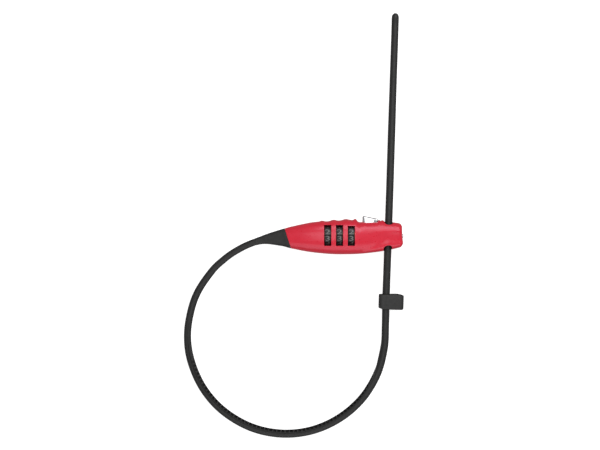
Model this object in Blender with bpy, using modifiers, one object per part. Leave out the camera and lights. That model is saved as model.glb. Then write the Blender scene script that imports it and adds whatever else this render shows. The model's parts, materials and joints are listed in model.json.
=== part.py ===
"""Cable luggage lock: a three-dial ratchet lock with a looped, toothed cable.

The lock lies on its flat back. X runs from the cable's fixed end to the reset pin, Y from the
loop to the release button, and Z up, out of the dials. The origin is on the back face, below the
middle of the head. Lengths in this file are in millimetres; at() and MM turn them into metres.
"""

from math import atan2, cos, exp, pi, radians, sin, sqrt

import bmesh
import bpy
from mathutils import Matrix, Vector

MM = 0.001
GAP = 0.35  # between pieces that touch or slide on each other

# The head
HEAD_LEFT = -24.65
HEAD_RIGHT = 42.9
SPLIT_Z = 7.0  # height of the parting plane between the two shells
SPLIT_GAP = 0.3
WALL = 1.5
BACK_WALL = 1.2
BACK_SWELL = 0.6  # how far the back's curve would go below the flat it is cut at
FRONT_POWER = 2.6  # roundness of the sections: 2 is an ellipse
BACK_POWER = 3.2
JOINT_SLANT = -0.32  # x over y of the joint with the boot
SLANT_END = -12.0  # the stations beyond it stand upright
TOP_LINE = (
    (-24.65, 3.9), (-22.2, 4.65), (-18.6, 5.65), (-15.4, 6.5), (-12.0, 7.3), (-8.4, 7.8),
    (-5.3, 8.0), (-1.4, 8.1), (5.4, 8.6), (12.6, 8.9), (15.2, 8.6), (17.4, 7.65), (20.0, 7.75),
    (28.0, 7.8), (32.3, 7.75), (37.1, 7.5), (39.2, 7.25), (41.0, 7.05), (42.4, 6.2), (42.9, 5.0),
)
BOTTOM_LINE = (
    (-24.65, -7.85), (-22.5, -8.3), (-18.9, -8.93), (-15.4, -9.42), (-11.9, -9.93), (-8.4, -10.37),
    (-4.8, -10.75), (-1.3, -11.05), (4.0, -11.3), (9.2, -11.3), (14.5, -11.2), (19.8, -10.85),
    (25.0, -10.3), (30.4, -9.55), (34.0, -8.85), (37.4, -8.2), (40.2, -7.6), (41.8, -7.2),
    (42.6, -6.5), (42.9, -5.4),
)
FRONT_LINE = (
    (-24.65, 11.6), (-15.0, 13.6), (-5.0, 14.9), (5.6, 15.3), (13.0, 15.1), (20.0, 14.3),
    (28.0, 13.5), (36.0, 12.9), (40.6, 12.3), (42.3, 11.6), (42.9, 10.6),
)
RIDGES = (
    (-4.5, 0.45, 1.3), (2.0, 0.65, 1.8), (9.3, 0.6, 1.9), (15.0, 0.95, 0.9),
    (28.8, 1.2, 0.7), (30.8, 0.95, 1.0),
)  # place, height and half width
ARC_STEPS = 12

# The dials
DIAL_AXIS_Z = 8.1
DIAL_PLACES = (-1.33, 5.6, 12.53)
DIAL_RADIUS = 6.3
DIAL_WIDTH = 3.5
DIGITS = 10
NOTCH_DEPTH = 0.35
WINDOW_WIDTH = 4.15
WINDOW_LOW = -6.27
WINDOW_TOPS = (5.88, 5.88, 5.33)
HUB_RADIUS = 3.4
HUB_LENGTH = 4.8
HUB_BORE = 1.65
GATE_RADIUS = 2.85
GATE_WIDTH = 2.0
SPINDLE_RADIUS = 1.25
SPINDLE_LEFT = -8.9
SPINDLE_RIGHT = 20.3
FIN_RADIUS = 2.45
FIN_WIDTH = 1.2
FIN_THICKNESS = 0.8

# The release
BUTTON_LEFT = 19.2
BUTTON_RIGHT = 28.2
BUTTON_LOW = 4.3
BUTTON_DEPTH = 5.0
BUTTON_Z = 7.0
PAWL_X = 28.6
PAWL_Y = -5.3
PAWL_HUB = 1.8
PIN_RADIUS = 0.9
TOOTH_PITCH = 2.53
RESET_Y = -0.6
LINK_LOW = 9.85
LINK_THICKNESS = 0.6
LINK_WIDTH = 2.0

# The cable
CABLE_RADIUS = 2.0
CABLE_BORE = 2.65
MOUTH_RADIUS = 2.5
CABLE_STEP = 6.0  # between the points of the tube
CABLE_ROUTE = (
    (-18.2, -0.7, 6.3), (-25.0, -0.9, 6.2), (-33.0, -1.5, 5.8), (-38.5, -2.4, 5.4), (-43.2, -3.8, 5.0),
    (-50.1, -6.6, 4.3), (-57.2, -10.6, 3.6), (-63.0, -15.0, 3.0), (-68.98, -20.74, 2.5),
    (-77.13, -32.43, 2.1), (-81.55, -44.06, 2.1), (-83.7, -58.5, 2.1), (-81.99, -73.48, 2.1),
    (-75.02, -89.8, 2.1), (-63.44, -103.29, 2.1), (-47.13, -113.12, 2.1), (-29.22, -117.13, 2.1),
    (-11.33, -115.49, 2.1), (5.09, -108.51, 2.1), (18.53, -97.2, 2.1), (27.83, -82.4, 2.2),
    (32.1, -66.63, 2.6), (32.75, -53.0, 3.35), (33.0, -40.0, 4.3), (33.4, -27.0, 5.25),
    (33.85, -14.0, 6.1), (34.25, -1.0, 6.5), (34.65, 10.0, 6.3), (35.3, 28.0, 5.3), (36.1, 52.0, 3.75),
    (36.9, 76.0, 2.6), (37.6, 97.0, 2.15), (38.2, 114.5, 2.1), (38.5, 124.6, 2.1),
)
TIP_LENGTH = 6.0

# The keeper
KEEPER_Y = -38.9
KEEPER_LENGTH = 8.6
KEEPER_WIDTH = 14.8
KEEPER_HEIGHT = 6.6
KEEPER_LEFT = 4.35  # from its left end to the middle of the cable
KEEPER_LOOP_LEFT = 7.6  # from its left end to the empty loop
KEEPER_LOOP_HEIGHT = 5.0

SCREW_PLACES = ((-9.4, 4.5), (-9.4, -5.8), (19.2, -6.9), (39.6, -4.6))
POST_RADIUS = 2.0
POST_GAP = 0.25  # between the parting plane and the end of a screw post

COLOURS = {
    "red_shell": ((0.72, 0.045, 0.08, 1), 0.32, 0.0),
    "black_rubber": ((0.035, 0.035, 0.033, 1), 0.6, 0.0),
    "black_dial": ((0.02, 0.02, 0.02, 1), 0.45, 0.0),
    "chrome": ((0.9, 0.9, 0.9, 1), 0.12, 1.0),
    "steel": ((0.55, 0.55, 0.56, 1), 0.3, 1.0),
    "spring_steel": ((0.4, 0.4, 0.42, 1), 0.35, 1.0),
    "zinc": ((0.48, 0.48, 0.5, 1), 0.5, 1.0),
    "brass": ((0.7, 0.5, 0.2, 1), 0.35, 1.0),
}


# ---------------------------------------------------------------- numbers


def at(x, y, z):
    """A point in metres from millimetres."""
    return Vector((x, y, z)) * MM


def smooth_step(value, start, end):
    """0 before start, 1 after end, and a smooth rise between them."""
    t = min(max((value - start) / (end - start), 0.0), 1.0)
    return t * t * (3 - 2 * t)


def along(line, x):
    """The height of a smooth line through (x, height) points: a Hermite curve without overshoot."""
    last = len(line) - 1
    k = 0
    while k < last - 1 and x > line[k + 1][0]:
        k += 1

    def slope(i):
        low, high = max(i - 1, 0), min(i + 1, last)
        return (line[high][1] - line[low][1]) / (line[high][0] - line[low][0])

    (x0, y0), (x1, y1) = line[k], line[k + 1]
    span = x1 - x0
    t = min(max((x - x0) / span, 0.0), 1.0)
    start = y0 * (1 + 2 * t) * (1 - t) ** 2 + slope(k) * span * t * (1 - t) ** 2
    return start + y1 * t * t * (3 - 2 * t) + slope(k + 1) * span * t * t * (t - 1)


def signed_power(value, power):
    return (1 if value >= 0 else -1) * abs(value) ** power


def smooth_route(route, step):
    """Points a step apart along the Catmull-Rom curve through the route's points."""
    points = [Vector(p) for p in route]
    points = [2 * points[0] - points[1], *points, 2 * points[-1] - points[-2]]
    fine = []
    for a, b, c, d in zip(points, points[1:], points[2:], points[3:]):
        for i in range(24):
            t = i / 24
            fine.append(
                0.5 * (2 * b + (c - a) * t + (2 * a - 5 * b + 4 * c - d) * t ** 2
                       + (3 * b - a - 3 * c + d) * t ** 3)
            )
    fine.append(points[-2])
    length = sum((b - a).length for a, b in zip(fine, fine[1:]))
    count = round(length / step)
    result, run, k = [fine[0]], 0.0, 0
    for i in range(1, count):
        goal = length * i / count
        while run + (fine[k + 1] - fine[k]).length < goal:
            run += (fine[k + 1] - fine[k]).length
            k += 1
        piece = fine[k + 1] - fine[k]
        result.append(fine[k] + piece * ((goal - run) / piece.length))
    return [*result, fine[-1]]


CABLE_POINTS = smooth_route(CABLE_ROUTE, CABLE_STEP)


def cable_at_y(y):
    """The point of the cable's straight stretch at this y, and its direction towards the tip."""
    fine = smooth_route(CABLE_ROUTE[20:], 0.5)
    k = min(range(1, len(fine) - 1), key=lambda i: abs(fine[i].y - y))
    return fine[k], (fine[k + 1] - fine[k - 1]).normalized()


def placed(x, y, z, turn=Matrix.Identity(4)):
    return Matrix.Translation(at(x, y, z)) @ turn


def turned_to(direction, place):
    """A matrix that takes +Y to a direction, keeps X level, and moves the origin to place (mm)."""
    y_axis = Vector(direction).normalized()
    x_axis = y_axis.cross(Vector((0, 0, 1))).normalized()
    z_axis = x_axis.cross(y_axis)
    turn = Matrix((x_axis, y_axis, z_axis)).transposed().to_4x4()
    return Matrix.Translation(at(*place)) @ turn


# ---------------------------------------------------------------- objects


def clear_scene():
    for thing in list(bpy.data.objects):
        bpy.data.objects.remove(thing)


def new_collection(name):
    made = bpy.data.collections.new(name)
    bpy.context.scene.collection.children.link(made)
    return made


clear_scene()
LOCK = new_collection("cable_luggage_lock")
CUTTERS = new_collection("cutters")
CUTTERS.hide_render = True


def make_material(name):
    colour, roughness, metallic = COLOURS[name]
    made = bpy.data.materials.new(name)
    made.use_nodes = True
    shader = made.node_tree.nodes["Principled BSDF"]
    shader.inputs["Base Color"].default_value = colour
    shader.inputs["Roughness"].default_value = roughness
    shader.inputs["Metallic"].default_value = metallic
    made.diffuse_color = colour
    return made


def add_object(name, data, material=None, matrix=None):
    """An object in the lock, or a cutter when it has no material."""
    made = bpy.data.objects.new(name, data)
    (LOCK if material else CUTTERS).objects.link(made)
    if matrix is not None:
        made.matrix_world = matrix
    if material:
        finish = make_material(material)
        finish.name = name + "_finish"
        data.materials.clear()
        data.materials.append(finish)
    else:
        made.hide_render = True
        made.display_type = "WIRE"
    return made


def loft(name, rings, material=None, closed=False):
    """A skin over rings of points in mm. It is capped at both ends, or joined end to end when closed."""
    bm = bmesh.new()
    skin = [[bm.verts.new(at(*p)) for p in ring] for ring in rings]
    pairs = list(zip(skin, skin[1:]))
    if closed:
        pairs.append((skin[-1], skin[0]))
    count = len(rings[0])
    for low, high in pairs:
        for i in range(count):
            j = (i + 1) % count
            bm.faces.new((low[i], low[j], high[j], high[i]))
    if not closed:
        bm.faces.new(list(reversed(skin[0])))
        bm.faces.new(skin[-1])
    bmesh.ops.triangulate(bm, faces=bm.faces)
    bmesh.ops.recalc_face_normals(bm, faces=bm.faces)
    mesh = bpy.data.meshes.new(name)
    bm.to_mesh(mesh)
    bm.free()
    mesh.shade_smooth()
    mesh.set_sharp_from_angle(angle=radians(40))
    return add_object(name, mesh, material)


def box(name, low, high, material=None):
    """A box between two corners in mm, with its origin at its middle."""
    bm = bmesh.new()
    bmesh.ops.create_cube(bm, size=1.0)
    bmesh.ops.scale(bm, vec=(Vector(high) - Vector(low)) * MM, verts=bm.verts)
    mesh = bpy.data.meshes.new(name)
    bm.to_mesh(mesh)
    bm.free()
    return add_object(name, mesh, material, placed(*(Vector(high) + Vector(low)) / 2))


def rod(name, start, end, radius, material=None, sides=32):
    """A cylinder between two points in mm."""
    start, end = Vector(start), Vector(end)
    bm = bmesh.new()
    bmesh.ops.create_cone(
        bm, cap_ends=True, segments=sides, depth=(end - start).length * MM,
        radius1=radius * MM, radius2=radius * MM,
    )
    mesh = bpy.data.meshes.new(name)
    bm.to_mesh(mesh)
    bm.free()
    mesh.shade_smooth()
    mesh.set_sharp_from_angle(angle=radians(40))
    turn = Vector((0, 0, 1)).rotation_difference(end - start).to_matrix().to_4x4()
    return add_object(name, mesh, material, Matrix.Translation((start + end) / 2 * MM) @ turn)


def plate(name, outlines, thickness, matrix, material=None, bevel=0.0):
    """A flat outline, with any holes after it, given a thickness about its own plane."""
    curve = bpy.data.curves.new(name, "CURVE")
    curve.dimensions = "2D"
    curve.fill_mode = "BOTH"
    curve.extrude = (thickness / 2 - bevel) * MM
    curve.bevel_depth = bevel * MM
    curve.bevel_resolution = 1
    curve.offset = -bevel * MM
    for outline in outlines:
        spline = curve.splines.new("POLY")
        spline.points.add(len(outline) - 1)
        for point, (x, y) in zip(spline.points, outline):
            point.co = (x * MM, y * MM, 0, 1)
        spline.use_cyclic_u = True
    return as_mesh(add_object(name, curve, material, matrix))


def turned(name, profile, matrix, material=None, steps=32):
    """A profile of (radius, height) points, top to bottom, turned about the matrix's Z axis."""
    mesh = bpy.data.meshes.new(name)
    points = [(r * MM, 0, z * MM) for r, z in profile]
    mesh.from_pydata(points, [(i, i + 1) for i in range(len(points) - 1)], [])
    made = add_object(name, mesh, material, matrix)
    screw = made.modifiers.new("turn", "SCREW")
    screw.steps = steps
    screw.render_steps = steps
    screw.use_merge_vertices = True
    screw.merge_threshold = 0.00001
    screw.use_smooth_shade = True
    return made


def tube(name, points, radius, material, resolution=2):
    """A round wire or cable along points in mm."""
    curve = bpy.data.curves.new(name, "CURVE")
    curve.dimensions = "3D"
    curve.bevel_depth = radius * MM
    curve.bevel_resolution = resolution
    curve.use_fill_caps = True
    spline = curve.splines.new("POLY")
    spline.points.add(len(points) - 1)
    for point, place in zip(spline.points, points):
        point.co = (*at(*place), 1)
    spline.use_smooth = True
    return add_object(name, curve, material)


def as_mesh(thing):
    """The same object as a mesh with welded caps, so that it can be cut or joined."""
    shape = thing.evaluated_get(bpy.context.evaluated_depsgraph_get())
    mesh = bpy.data.meshes.new_from_object(shape)
    bm = bmesh.new()
    bm.from_mesh(mesh)
    bmesh.ops.remove_doubles(bm, verts=bm.verts, dist=0.000002)
    bm.to_mesh(mesh)
    bm.free()
    name, matrix = thing.name, thing.matrix_world.copy()
    home = thing.users_collection[0]
    bpy.data.objects.remove(thing)
    made = bpy.data.objects.new(name, mesh)
    home.objects.link(made)
    made.matrix_world = matrix
    if home is CUTTERS:
        made.hide_render = True
        made.display_type = "WIRE"
    return made


def combine(thing, others, operation="DIFFERENCE"):
    """Cuts the others from a thing, or joins them to it."""
    for other in others:
        step = thing.modifiers.new(other.name, "BOOLEAN")
        step.operation = operation
        step.solver = "EXACT"
        step.object = other
        if other.name not in CUTTERS.objects:
            CUTTERS.objects.link(other)
    return thing


def arc(centre, radius, start, end, steps):
    """Points on an arc, both ends among them. Angles are in degrees."""
    return [
        (centre[0] + radius * cos(radians(start + (end - start) * i / steps)),
         centre[1] + radius * sin(radians(start + (end - start) * i / steps)))
        for i in range(steps + 1)
    ]


def rounded_box(left, right, low, high, corner, steps):
    """The outline of a box with round corners."""
    points = arc((right - corner, high - corner), corner, 0, 90, steps)
    points += arc((left + corner, high - corner), corner, 90, 180, steps)
    points += arc((left + corner, low + corner), corner, 180, 270, steps)
    return points + arc((right - corner, low + corner), corner, 270, 360, steps)


# Planes for plate(): its outline's x and y become the two named axes.
ACROSS_YZ = Matrix(((0, 0, 1, 0), (1, 0, 0, 0), (0, 1, 0, 0), (0, 0, 0, 1)))
ACROSS_XZ = Matrix(((1, 0, 0, 0), (0, 0, -1, 0), (0, 1, 0, 0), (0, 0, 0, 1)))


# ---------------------------------------------------------------- the head's form


def ridge(x):
    """How far the finger ridges and the button's guards stand above the top line at x."""
    return sum(h * max(0.0, 1 - ((x - place) / (2 * w)) ** 2) ** 3 for place, h, w in RIDGES)


def end_wave(x, y):
    """How far the right end stands in from a flat one: a shallow wave with a swelling at its lower corner."""
    wave = -0.55 + 0.15 * smooth_step(-y, -1.0, 2.0) + 0.45 * exp(-((y + 4.8) / 1.1) ** 2)
    return wave * smooth_step(x, 36.0, HEAD_RIGHT)


def half_ring(x, wall=0.0, back=False, ridged=True):
    """One half of the head's outline across X: from its top edge over the face to its bottom edge."""
    top = along(TOP_LINE, x) - wall
    bottom = along(BOTTOM_LINE, x) + wall
    middle, half = (top + bottom) / 2, (top - bottom) / 2
    if back:
        power, rise = BACK_POWER, -(SPLIT_Z + BACK_SWELL)
    else:
        power, rise = FRONT_POWER, along(FRONT_LINE, x) - SPLIT_Z - wall
    slant = JOINT_SLANT * (1 - smooth_step(x, HEAD_LEFT, SLANT_END))
    ring = []
    for i in range(ARC_STEPS + 1):
        turn = pi * i / ARC_STEPS
        edge = signed_power(cos(turn), 2 / power)
        y = middle + half * edge
        if ridged and edge > 0:
            y += ridge(x) * edge ** 6
        z = SPLIT_Z + rise * signed_power(sin(turn), 2 / power)
        z = max(z, BACK_WALL if wall else 0.0)
        ring.append((x + slant * (y - middle) + end_wave(x, y), y, z))
    return ring


def face_height(x, y):
    """Height of the head's outer face above the point x, y."""
    top, bottom = along(TOP_LINE, x), along(BOTTOM_LINE, x)
    share = min(1.0, abs(y - (top + bottom) / 2) / ((top - bottom) / 2))
    return SPLIT_Z + (along(FRONT_LINE, x) - SPLIT_Z) * (1 - share ** FRONT_POWER) ** (1 / FRONT_POWER)


def closed_ring(x, parting, **form):
    """A half ring with its two ends taken straight down, or up, to the parting height."""
    ring = half_ring(x, **form)
    first, last = ring[0], ring[-1]
    return [(first[0], first[1], parting), *ring[1:-1], (last[0], last[1], parting)]


def stations(start, end, step):
    count = max(2, round((end - start) / step))
    return [start + (end - start) * i / count for i in range(count + 1)]


def shell_blank(name, back):
    """Half of the head, hollowed out but not yet cut for what goes through it."""
    parting = SPLIT_Z + (-SPLIT_GAP / 2 if back else SPLIT_GAP / 2)
    beyond = SPLIT_Z + (3.0 if back else -3.0)
    outside = stations(HEAD_LEFT, -7.0, 2.6) + stations(-6.0, 16.0, 1.0) + [16.6, 17.2]
    outside += stations(18.0, 28.0, 2.5) + stations(28.4, 32.4, 0.5) + stations(34.0, 40.6, 2.2)
    outside += [41.4, 42.0, 42.4, 42.7, HEAD_RIGHT]
    inside = stations(HEAD_LEFT - 2.0, 39.6, 3.0) + [40.6, 41.2]
    outer = [closed_ring(x, parting, back=back) for x in outside]
    inner = [closed_ring(x, beyond, back=back, wall=WALL, ridged=False) for x in inside]
    shell = loft(name, outer, "red_shell")
    hollow = loft(name + "_hollow", inner)
    return combine(shell, [hollow])


# ---------------------------------------------------------------- cutters shared by the shells


def dial_pockets():
    reach = DIAL_RADIUS + GAP
    half = WINDOW_WIDTH / 2
    return [
        rod(f"pocket_{i + 1}", (x - half, 0, DIAL_AXIS_Z), (x + half, 0, DIAL_AXIS_Z), reach, sides=36)
        for i, x in enumerate(DIAL_PLACES)
    ]


def cable_hole():
    place, direction = cable_at_y(0.0)
    reach = direction * 14
    return rod("cable_hole", place - reach, place + reach, CABLE_BORE, sides=28)


def cable_mouth(name, inside, outside, lift):
    """A cutter that raises the roof of the cable's hole towards the outside, from one y to another."""
    rings = []
    for y, rise in ((inside, 0.0), (outside, lift)):
        place, _ = cable_at_y(y)
        upper = [(dx, dz + rise) for dx, dz in arc((0, 0), MOUTH_RADIUS, 0, 180, 12)]
        lower = arc((0, 0), MOUTH_RADIUS, 195, 345, 10)
        rings.append([(place.x + dx, y, place.z + dz) for dx, dz in upper + lower])
    return loft(name, rings if outside < inside else rings[::-1])


def button_well():
    half = BUTTON_DEPTH / 2 + GAP
    return box(
        "button_well",
        (BUTTON_LEFT - GAP, BUTTON_LOW - 1.0, BUTTON_Z - half),
        (BUTTON_RIGHT + GAP, 12.0, BUTTON_Z + half),
    )


def pin_hole():
    return rod("pin_hole", (40.0, -0.6, DIAL_AXIS_Z), (44.0, -0.6, DIAL_AXIS_Z), 1.1 + GAP)


def shells():
    front = shell_blank("front_shell", back=False)
    rear = shell_blank("rear_shell", back=True)
    for i, (x, y) in enumerate(SCREW_PLACES):
        roof = min(face_height(x, y - POST_RADIUS), face_height(x, y + POST_RADIUS)) - 0.5
        front_post = rod(f"front_post_{i + 1}", (x, y, SPLIT_Z + POST_GAP), (x, y, roof), POST_RADIUS)
        rear_post = rod(f"rear_post_{i + 1}", (x, y, 0.6), (x, y, SPLIT_Z - POST_GAP), POST_RADIUS)
        combine(front, [front_post], "UNION")
        combine(rear, [rear_post], "UNION")
    rib = box("spring_rib", (19.3, -3.3, 0.6), (21.8, -2.4, 6.5))
    combine(rear, [rib], "UNION")
    cuts = dial_pockets() + [cable_hole(), button_well(), pin_hole()]
    cuts += [cable_mouth("upper_mouth", 2.4, 9.6, 4.4), cable_mouth("lower_mouth", -2.8, -10.6, 5.8)]
    combine(front, cuts)
    combine(rear, cuts)
    for i, x in enumerate(DIAL_PLACES):
        half = WINDOW_WIDTH / 2
        low, high = (x - half, WINDOW_LOW, DIAL_AXIS_Z), (x + half, WINDOW_TOPS[i], 20.0)
        window = box(f"window_{i + 1}", low, high)
        combine(front, [window])
    for i, (x, y) in enumerate(SCREW_PLACES):
        bore = rod(f"screw_bore_{i + 1}", (x, y, -1.3), (x, y, 9.6), 1.0, sides=20)
        sink = rod(f"screw_sink_{i + 1}", (x, y, -1.0), (x, y, 1.6), 1.5, sides=16)
        combine(front, [bore])
        combine(rear, [bore, sink])


# ---------------------------------------------------------------- pieces


def case_screws():
    """Four screws with domed heads, from the back into the front shell's posts."""
    for i, (x, y) in enumerate(SCREW_PLACES):
        profile = ((0, 9.2), (0.6, 9.2), (0.6, 1.2), (1.2, 1.2), (1.2, 0.2), (0, 0.2))
        turned(f"case_screw_{i + 1}", profile, placed(x, y, 0), "steel", steps=14)


def dial_wheels():
    """Wheels with ten shallow notches, one between each pair of digits."""
    for i, x in enumerate(DIAL_PLACES):
        outline = []
        for digit in range(DIGITS):
            middle = 360 / DIGITS * digit
            outline += arc((0, 0), DIAL_RADIUS, middle - 14.5, middle + 14.5, 2)
            outline += [((DIAL_RADIUS - NOTCH_DEPTH) * cos(radians(middle + 18)),
                         (DIAL_RADIUS - NOTCH_DEPTH) * sin(radians(middle + 18)))]
        bore = arc((0, 0), HUB_RADIUS + GAP, 0, 345, 23)
        plate(f"dial_wheel_{i + 1}", [outline, bore], DIAL_WIDTH,
              placed(x, 0, DIAL_AXIS_Z, ACROSS_YZ), "black_dial")


def gate_outline():
    """A round bore with four gates that a fin can pass."""
    half = GATE_WIDTH / 2
    corner = sqrt(HUB_BORE ** 2 - half ** 2)
    low = atan2(half, corner)
    outline = []
    for quarter in range(4):
        turn = quarter * pi / 2
        for r, side in ((HUB_BORE, -half), (GATE_RADIUS, -half), (GATE_RADIUS, half), (HUB_BORE, half)):
            out = corner if r == HUB_BORE else r
            outline.append((out * cos(turn) - side * sin(turn), out * sin(turn) + side * cos(turn)))
        for step in (1, 2):
            angle = turn + low + (pi / 2 - 2 * low) * step / 3
            outline.append((HUB_BORE * cos(angle), HUB_BORE * sin(angle)))
    return outline


def dial_hubs():
    for i, x in enumerate(DIAL_PLACES):
        outside = arc((0, 0), HUB_RADIUS, 0, 345, 23)
        plate(f"dial_hub_{i + 1}", [outside, gate_outline()], HUB_LENGTH,
              placed(x, 0, DIAL_AXIS_Z, ACROSS_YZ), "brass")


def lock_spindle():
    """A rod with a fin to the right of each hub and a collar for its spring."""
    tip, collar = 1.2, 1.9
    collar_end = SPINDLE_LEFT + 1.0
    profile = (
        (0, SPINDLE_RIGHT), (0.5, SPINDLE_RIGHT), (SPINDLE_RADIUS, SPINDLE_RIGHT - tip),
        (SPINDLE_RADIUS, collar_end), (collar, collar_end), (collar, SPINDLE_LEFT), (0, SPINDLE_LEFT),
    )
    along_x = placed(0, 0, DIAL_AXIS_Z, Matrix.Rotation(pi / 2, 4, "Y"))
    spindle = turned("lock_spindle", profile, along_x, "steel", steps=18)
    for i, x in enumerate(DIAL_PLACES):
        start = x + HUB_LENGTH / 2 + GAP
        fin = box(f"fin_{i + 1}", (start, -FIN_WIDTH / 2, DIAL_AXIS_Z - FIN_RADIUS),
                  (start + FIN_THICKNESS, FIN_WIDTH / 2, DIAL_AXIS_Z))
        combine(spindle, [fin], "UNION")


def bearing_plates():
    """Two arched plates that stand on the rear shell and carry the spindle."""
    for side, x in (("left", -6.0), ("right", 17.5)):
        outline = arc((0, DIAL_AXIS_Z), 3.6, 0, 180, 12) + [(-3.6, BACK_WALL + GAP), (3.6, BACK_WALL + GAP)]
        hole = arc((0, DIAL_AXIS_Z), SPINDLE_RADIUS + GAP, 0, 340, 17)
        bearing = plate(f"bearing_plate_{side}", [outline, hole], 1.2, placed(x, 0, 0, ACROSS_YZ), "zinc")
    half = LINK_WIDTH / 2 + GAP
    slot = box("link_slot", (16.0, RESET_Y - half, LINK_LOW - GAP), (19.0, RESET_Y + half, 13.0))
    combine(bearing, [slot])


def detent_leaf():
    """A strip below the wheels with a bump for each of them."""
    back, front = -7.45, -7.15
    outline = [(-4.6, back), (16.2, back), (16.2, front)]
    for x in reversed(DIAL_PLACES):
        outline += [(x + 1.2, front), (x + 0.35, -6.75), (x - 0.35, -6.75), (x - 1.2, front)]
    outline += [(-4.6, front)]
    plate("detent_leaf", [outline], 3.0, placed(0, 0, DIAL_AXIS_Z), "spring_steel")


def coil(name, start, end, radius, turns, wire):
    """A helical spring between two points in mm."""
    start, end = Vector(start), Vector(end)
    axis = (end - start).normalized()
    side = axis.orthogonal().normalized()
    other = axis.cross(side)
    per_turn = 8
    points = []
    for i in range(round(turns * per_turn) + 1):
        angle = 2 * pi * i / per_turn
        place = start.lerp(end, i / (turns * per_turn))
        points.append(place + radius * (cos(angle) * side + sin(angle) * other))
    return tube(name, points, wire, "spring_steel")


def springs():
    coil("spindle_spring", (-12.1, 0, DIAL_AXIS_Z), (SPINDLE_LEFT - 0.6, 0, DIAL_AXIS_Z), 1.3, 4, 0.22)
    coil("button_spring", (20.55, -1.8, 5.2), (20.55, BUTTON_LOW - 0.6, 5.2), 0.85, 5, 0.16)
    coil("reset_spring", (37.9, RESET_Y, DIAL_AXIS_Z), (39.4, RESET_Y, DIAL_AXIS_Z), 1.0, 3, 0.18)
    coil("pawl_spring", (PAWL_X, PAWL_Y, 8.6), (PAWL_X, PAWL_Y, 9.7), 1.35, 2.5, 0.16)


def release_button():
    """A bright cap whose top slopes down towards the cable."""
    middle = (BUTTON_LEFT + BUTTON_RIGHT) / 2
    left, right = BUTTON_LEFT - middle, BUTTON_RIGHT - middle
    shoulder, crown = 4.7, 6.3
    outline = [(left, 0), (right, 0)]
    outline += arc((right - 0.5, shoulder), 0.5, 0, 75, 3)
    outline += arc((left + 0.6, crown), 0.6, 80, 180, 4)
    seat = placed(middle, BUTTON_LOW, BUTTON_Z)
    plate("release_button", [outline], BUTTON_DEPTH, seat, "chrome", bevel=0.3)


def button_stem():
    """A blade under the cap: a foot that pushes the pawl, and a wedge that shifts the spindle."""
    top = BUTTON_LOW - GAP
    foot = box("button_stem", (22.5, PAWL_Y + 2.9, 4.9), (24.5, top, 8.8), "steel")
    wedge_outline = [(20.75, 0.7), (22.8, 0.7), (22.8, top), (18.95, top), (18.95, 3.7)]
    wedge = plate("wedge", [wedge_outline], 1.9, placed(0, 0, 7.9))
    combine(foot, [wedge], "UNION")


def ratchet_pawl():
    """A bell crank: teeth towards the cable, and an arm under the stem's foot."""
    teeth = []
    for i in range(2):
        base = 2.55 + TOOTH_PITCH * i
        teeth += [(2.0, base), (3.25, base + 1.5), (3.25, base + 1.9), (2.0, base + 2.1)]
    outline = arc((0, 0), PAWL_HUB, 215, 400, 14)
    outline += teeth + [(2.0, 7.5), (-0.6, 7.5), (-0.9, 2.6), (-1.6, 2.1)]
    outline += arc((-5.1, 1.3), 1.2, 80, 260, 10)
    hole = arc((0, 0), PIN_RADIUS + GAP, 0, 340, 17)
    plate("ratchet_pawl", [outline, hole], 3.4, placed(PAWL_X, PAWL_Y, 6.4), "steel")
    rod("pawl_pin", (PAWL_X, PAWL_Y, BACK_WALL + GAP), (PAWL_X, PAWL_Y, 10.1), PIN_RADIUS, "steel", sides=16)


def cable_guide():
    """A channel that backs the cable up on the side away from the pawl."""
    place, direction = cable_at_y(0.2)
    inner = CABLE_RADIUS + 0.3
    outer = inner + 0.7
    outline = arc((0, 0), outer, -90, 90, 12) + [(-1.2, outer), (-1.2, inner)]
    outline += arc((0, 0), inner, 90, -90, 12) + [(-1.2, -inner), (-1.2, -outer)]
    matrix = turned_to(direction, place) @ ACROSS_XZ
    plate("cable_guide", [outline], 7.0, matrix, "steel")


def reset_parts():
    """The pin in the right end, and the bent strip that carries its push over the cable."""
    along_x = placed(0, RESET_Y, DIAL_AXIS_Z, Matrix.Rotation(pi / 2, 4, "Y"))
    profile = ((0, 43.2), (0.8, 43.2), (1.1, 42.9), (1.1, 41.05), (0, 41.05))
    turned("code_reset_pin", profile, along_x, "steel", steps=16)
    length, low, foot = 24.8, LINK_LOW - DIAL_AXIS_Z, -1.5
    bend, high = -LINK_THICKNESS, low + LINK_THICKNESS
    outline = [(-length, low), (bend, low), (bend, foot), (0, foot), (0, high), (-length, high)]
    plate("reset_link", [outline], LINK_WIDTH, placed(40.7, RESET_Y, DIAL_AXIS_Z, ACROSS_XZ), "steel")


def cable_anchor():
    """The crimped ferrule on the cable's fixed end, and the block that holds it."""
    along_x = placed(0, -0.7, 6.3, Matrix.Rotation(pi / 2, 4, "Y"))
    reach = CABLE_RADIUS + GAP
    profile = (
        (0, -15.2), (2.75, -15.2), (2.75, -21.4), (reach, -21.4), (reach, -17.8), (0, -17.8),
    )
    turned("cable_ferrule", profile, along_x, "zinc", steps=18)
    floor = BACK_WALL + GAP
    outline = [(-4.4, floor), (3.0, floor)]
    outline += arc((0.3, 7.2), 2.7, 0, 90, 4) + arc((-1.7, 7.2), 2.7, 90, 180, 4)
    length = 8.3
    block = plate("anchor_block", [outline], length, placed(-12.6 - length / 2, 0, 0, ACROSS_YZ), "zinc")
    socket = rod("ferrule_socket", (-23.0, -0.7, 6.3), (-14.8, -0.7, 6.3), 2.75 + 0.3, sides=24)
    combine(block, [socket])


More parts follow.
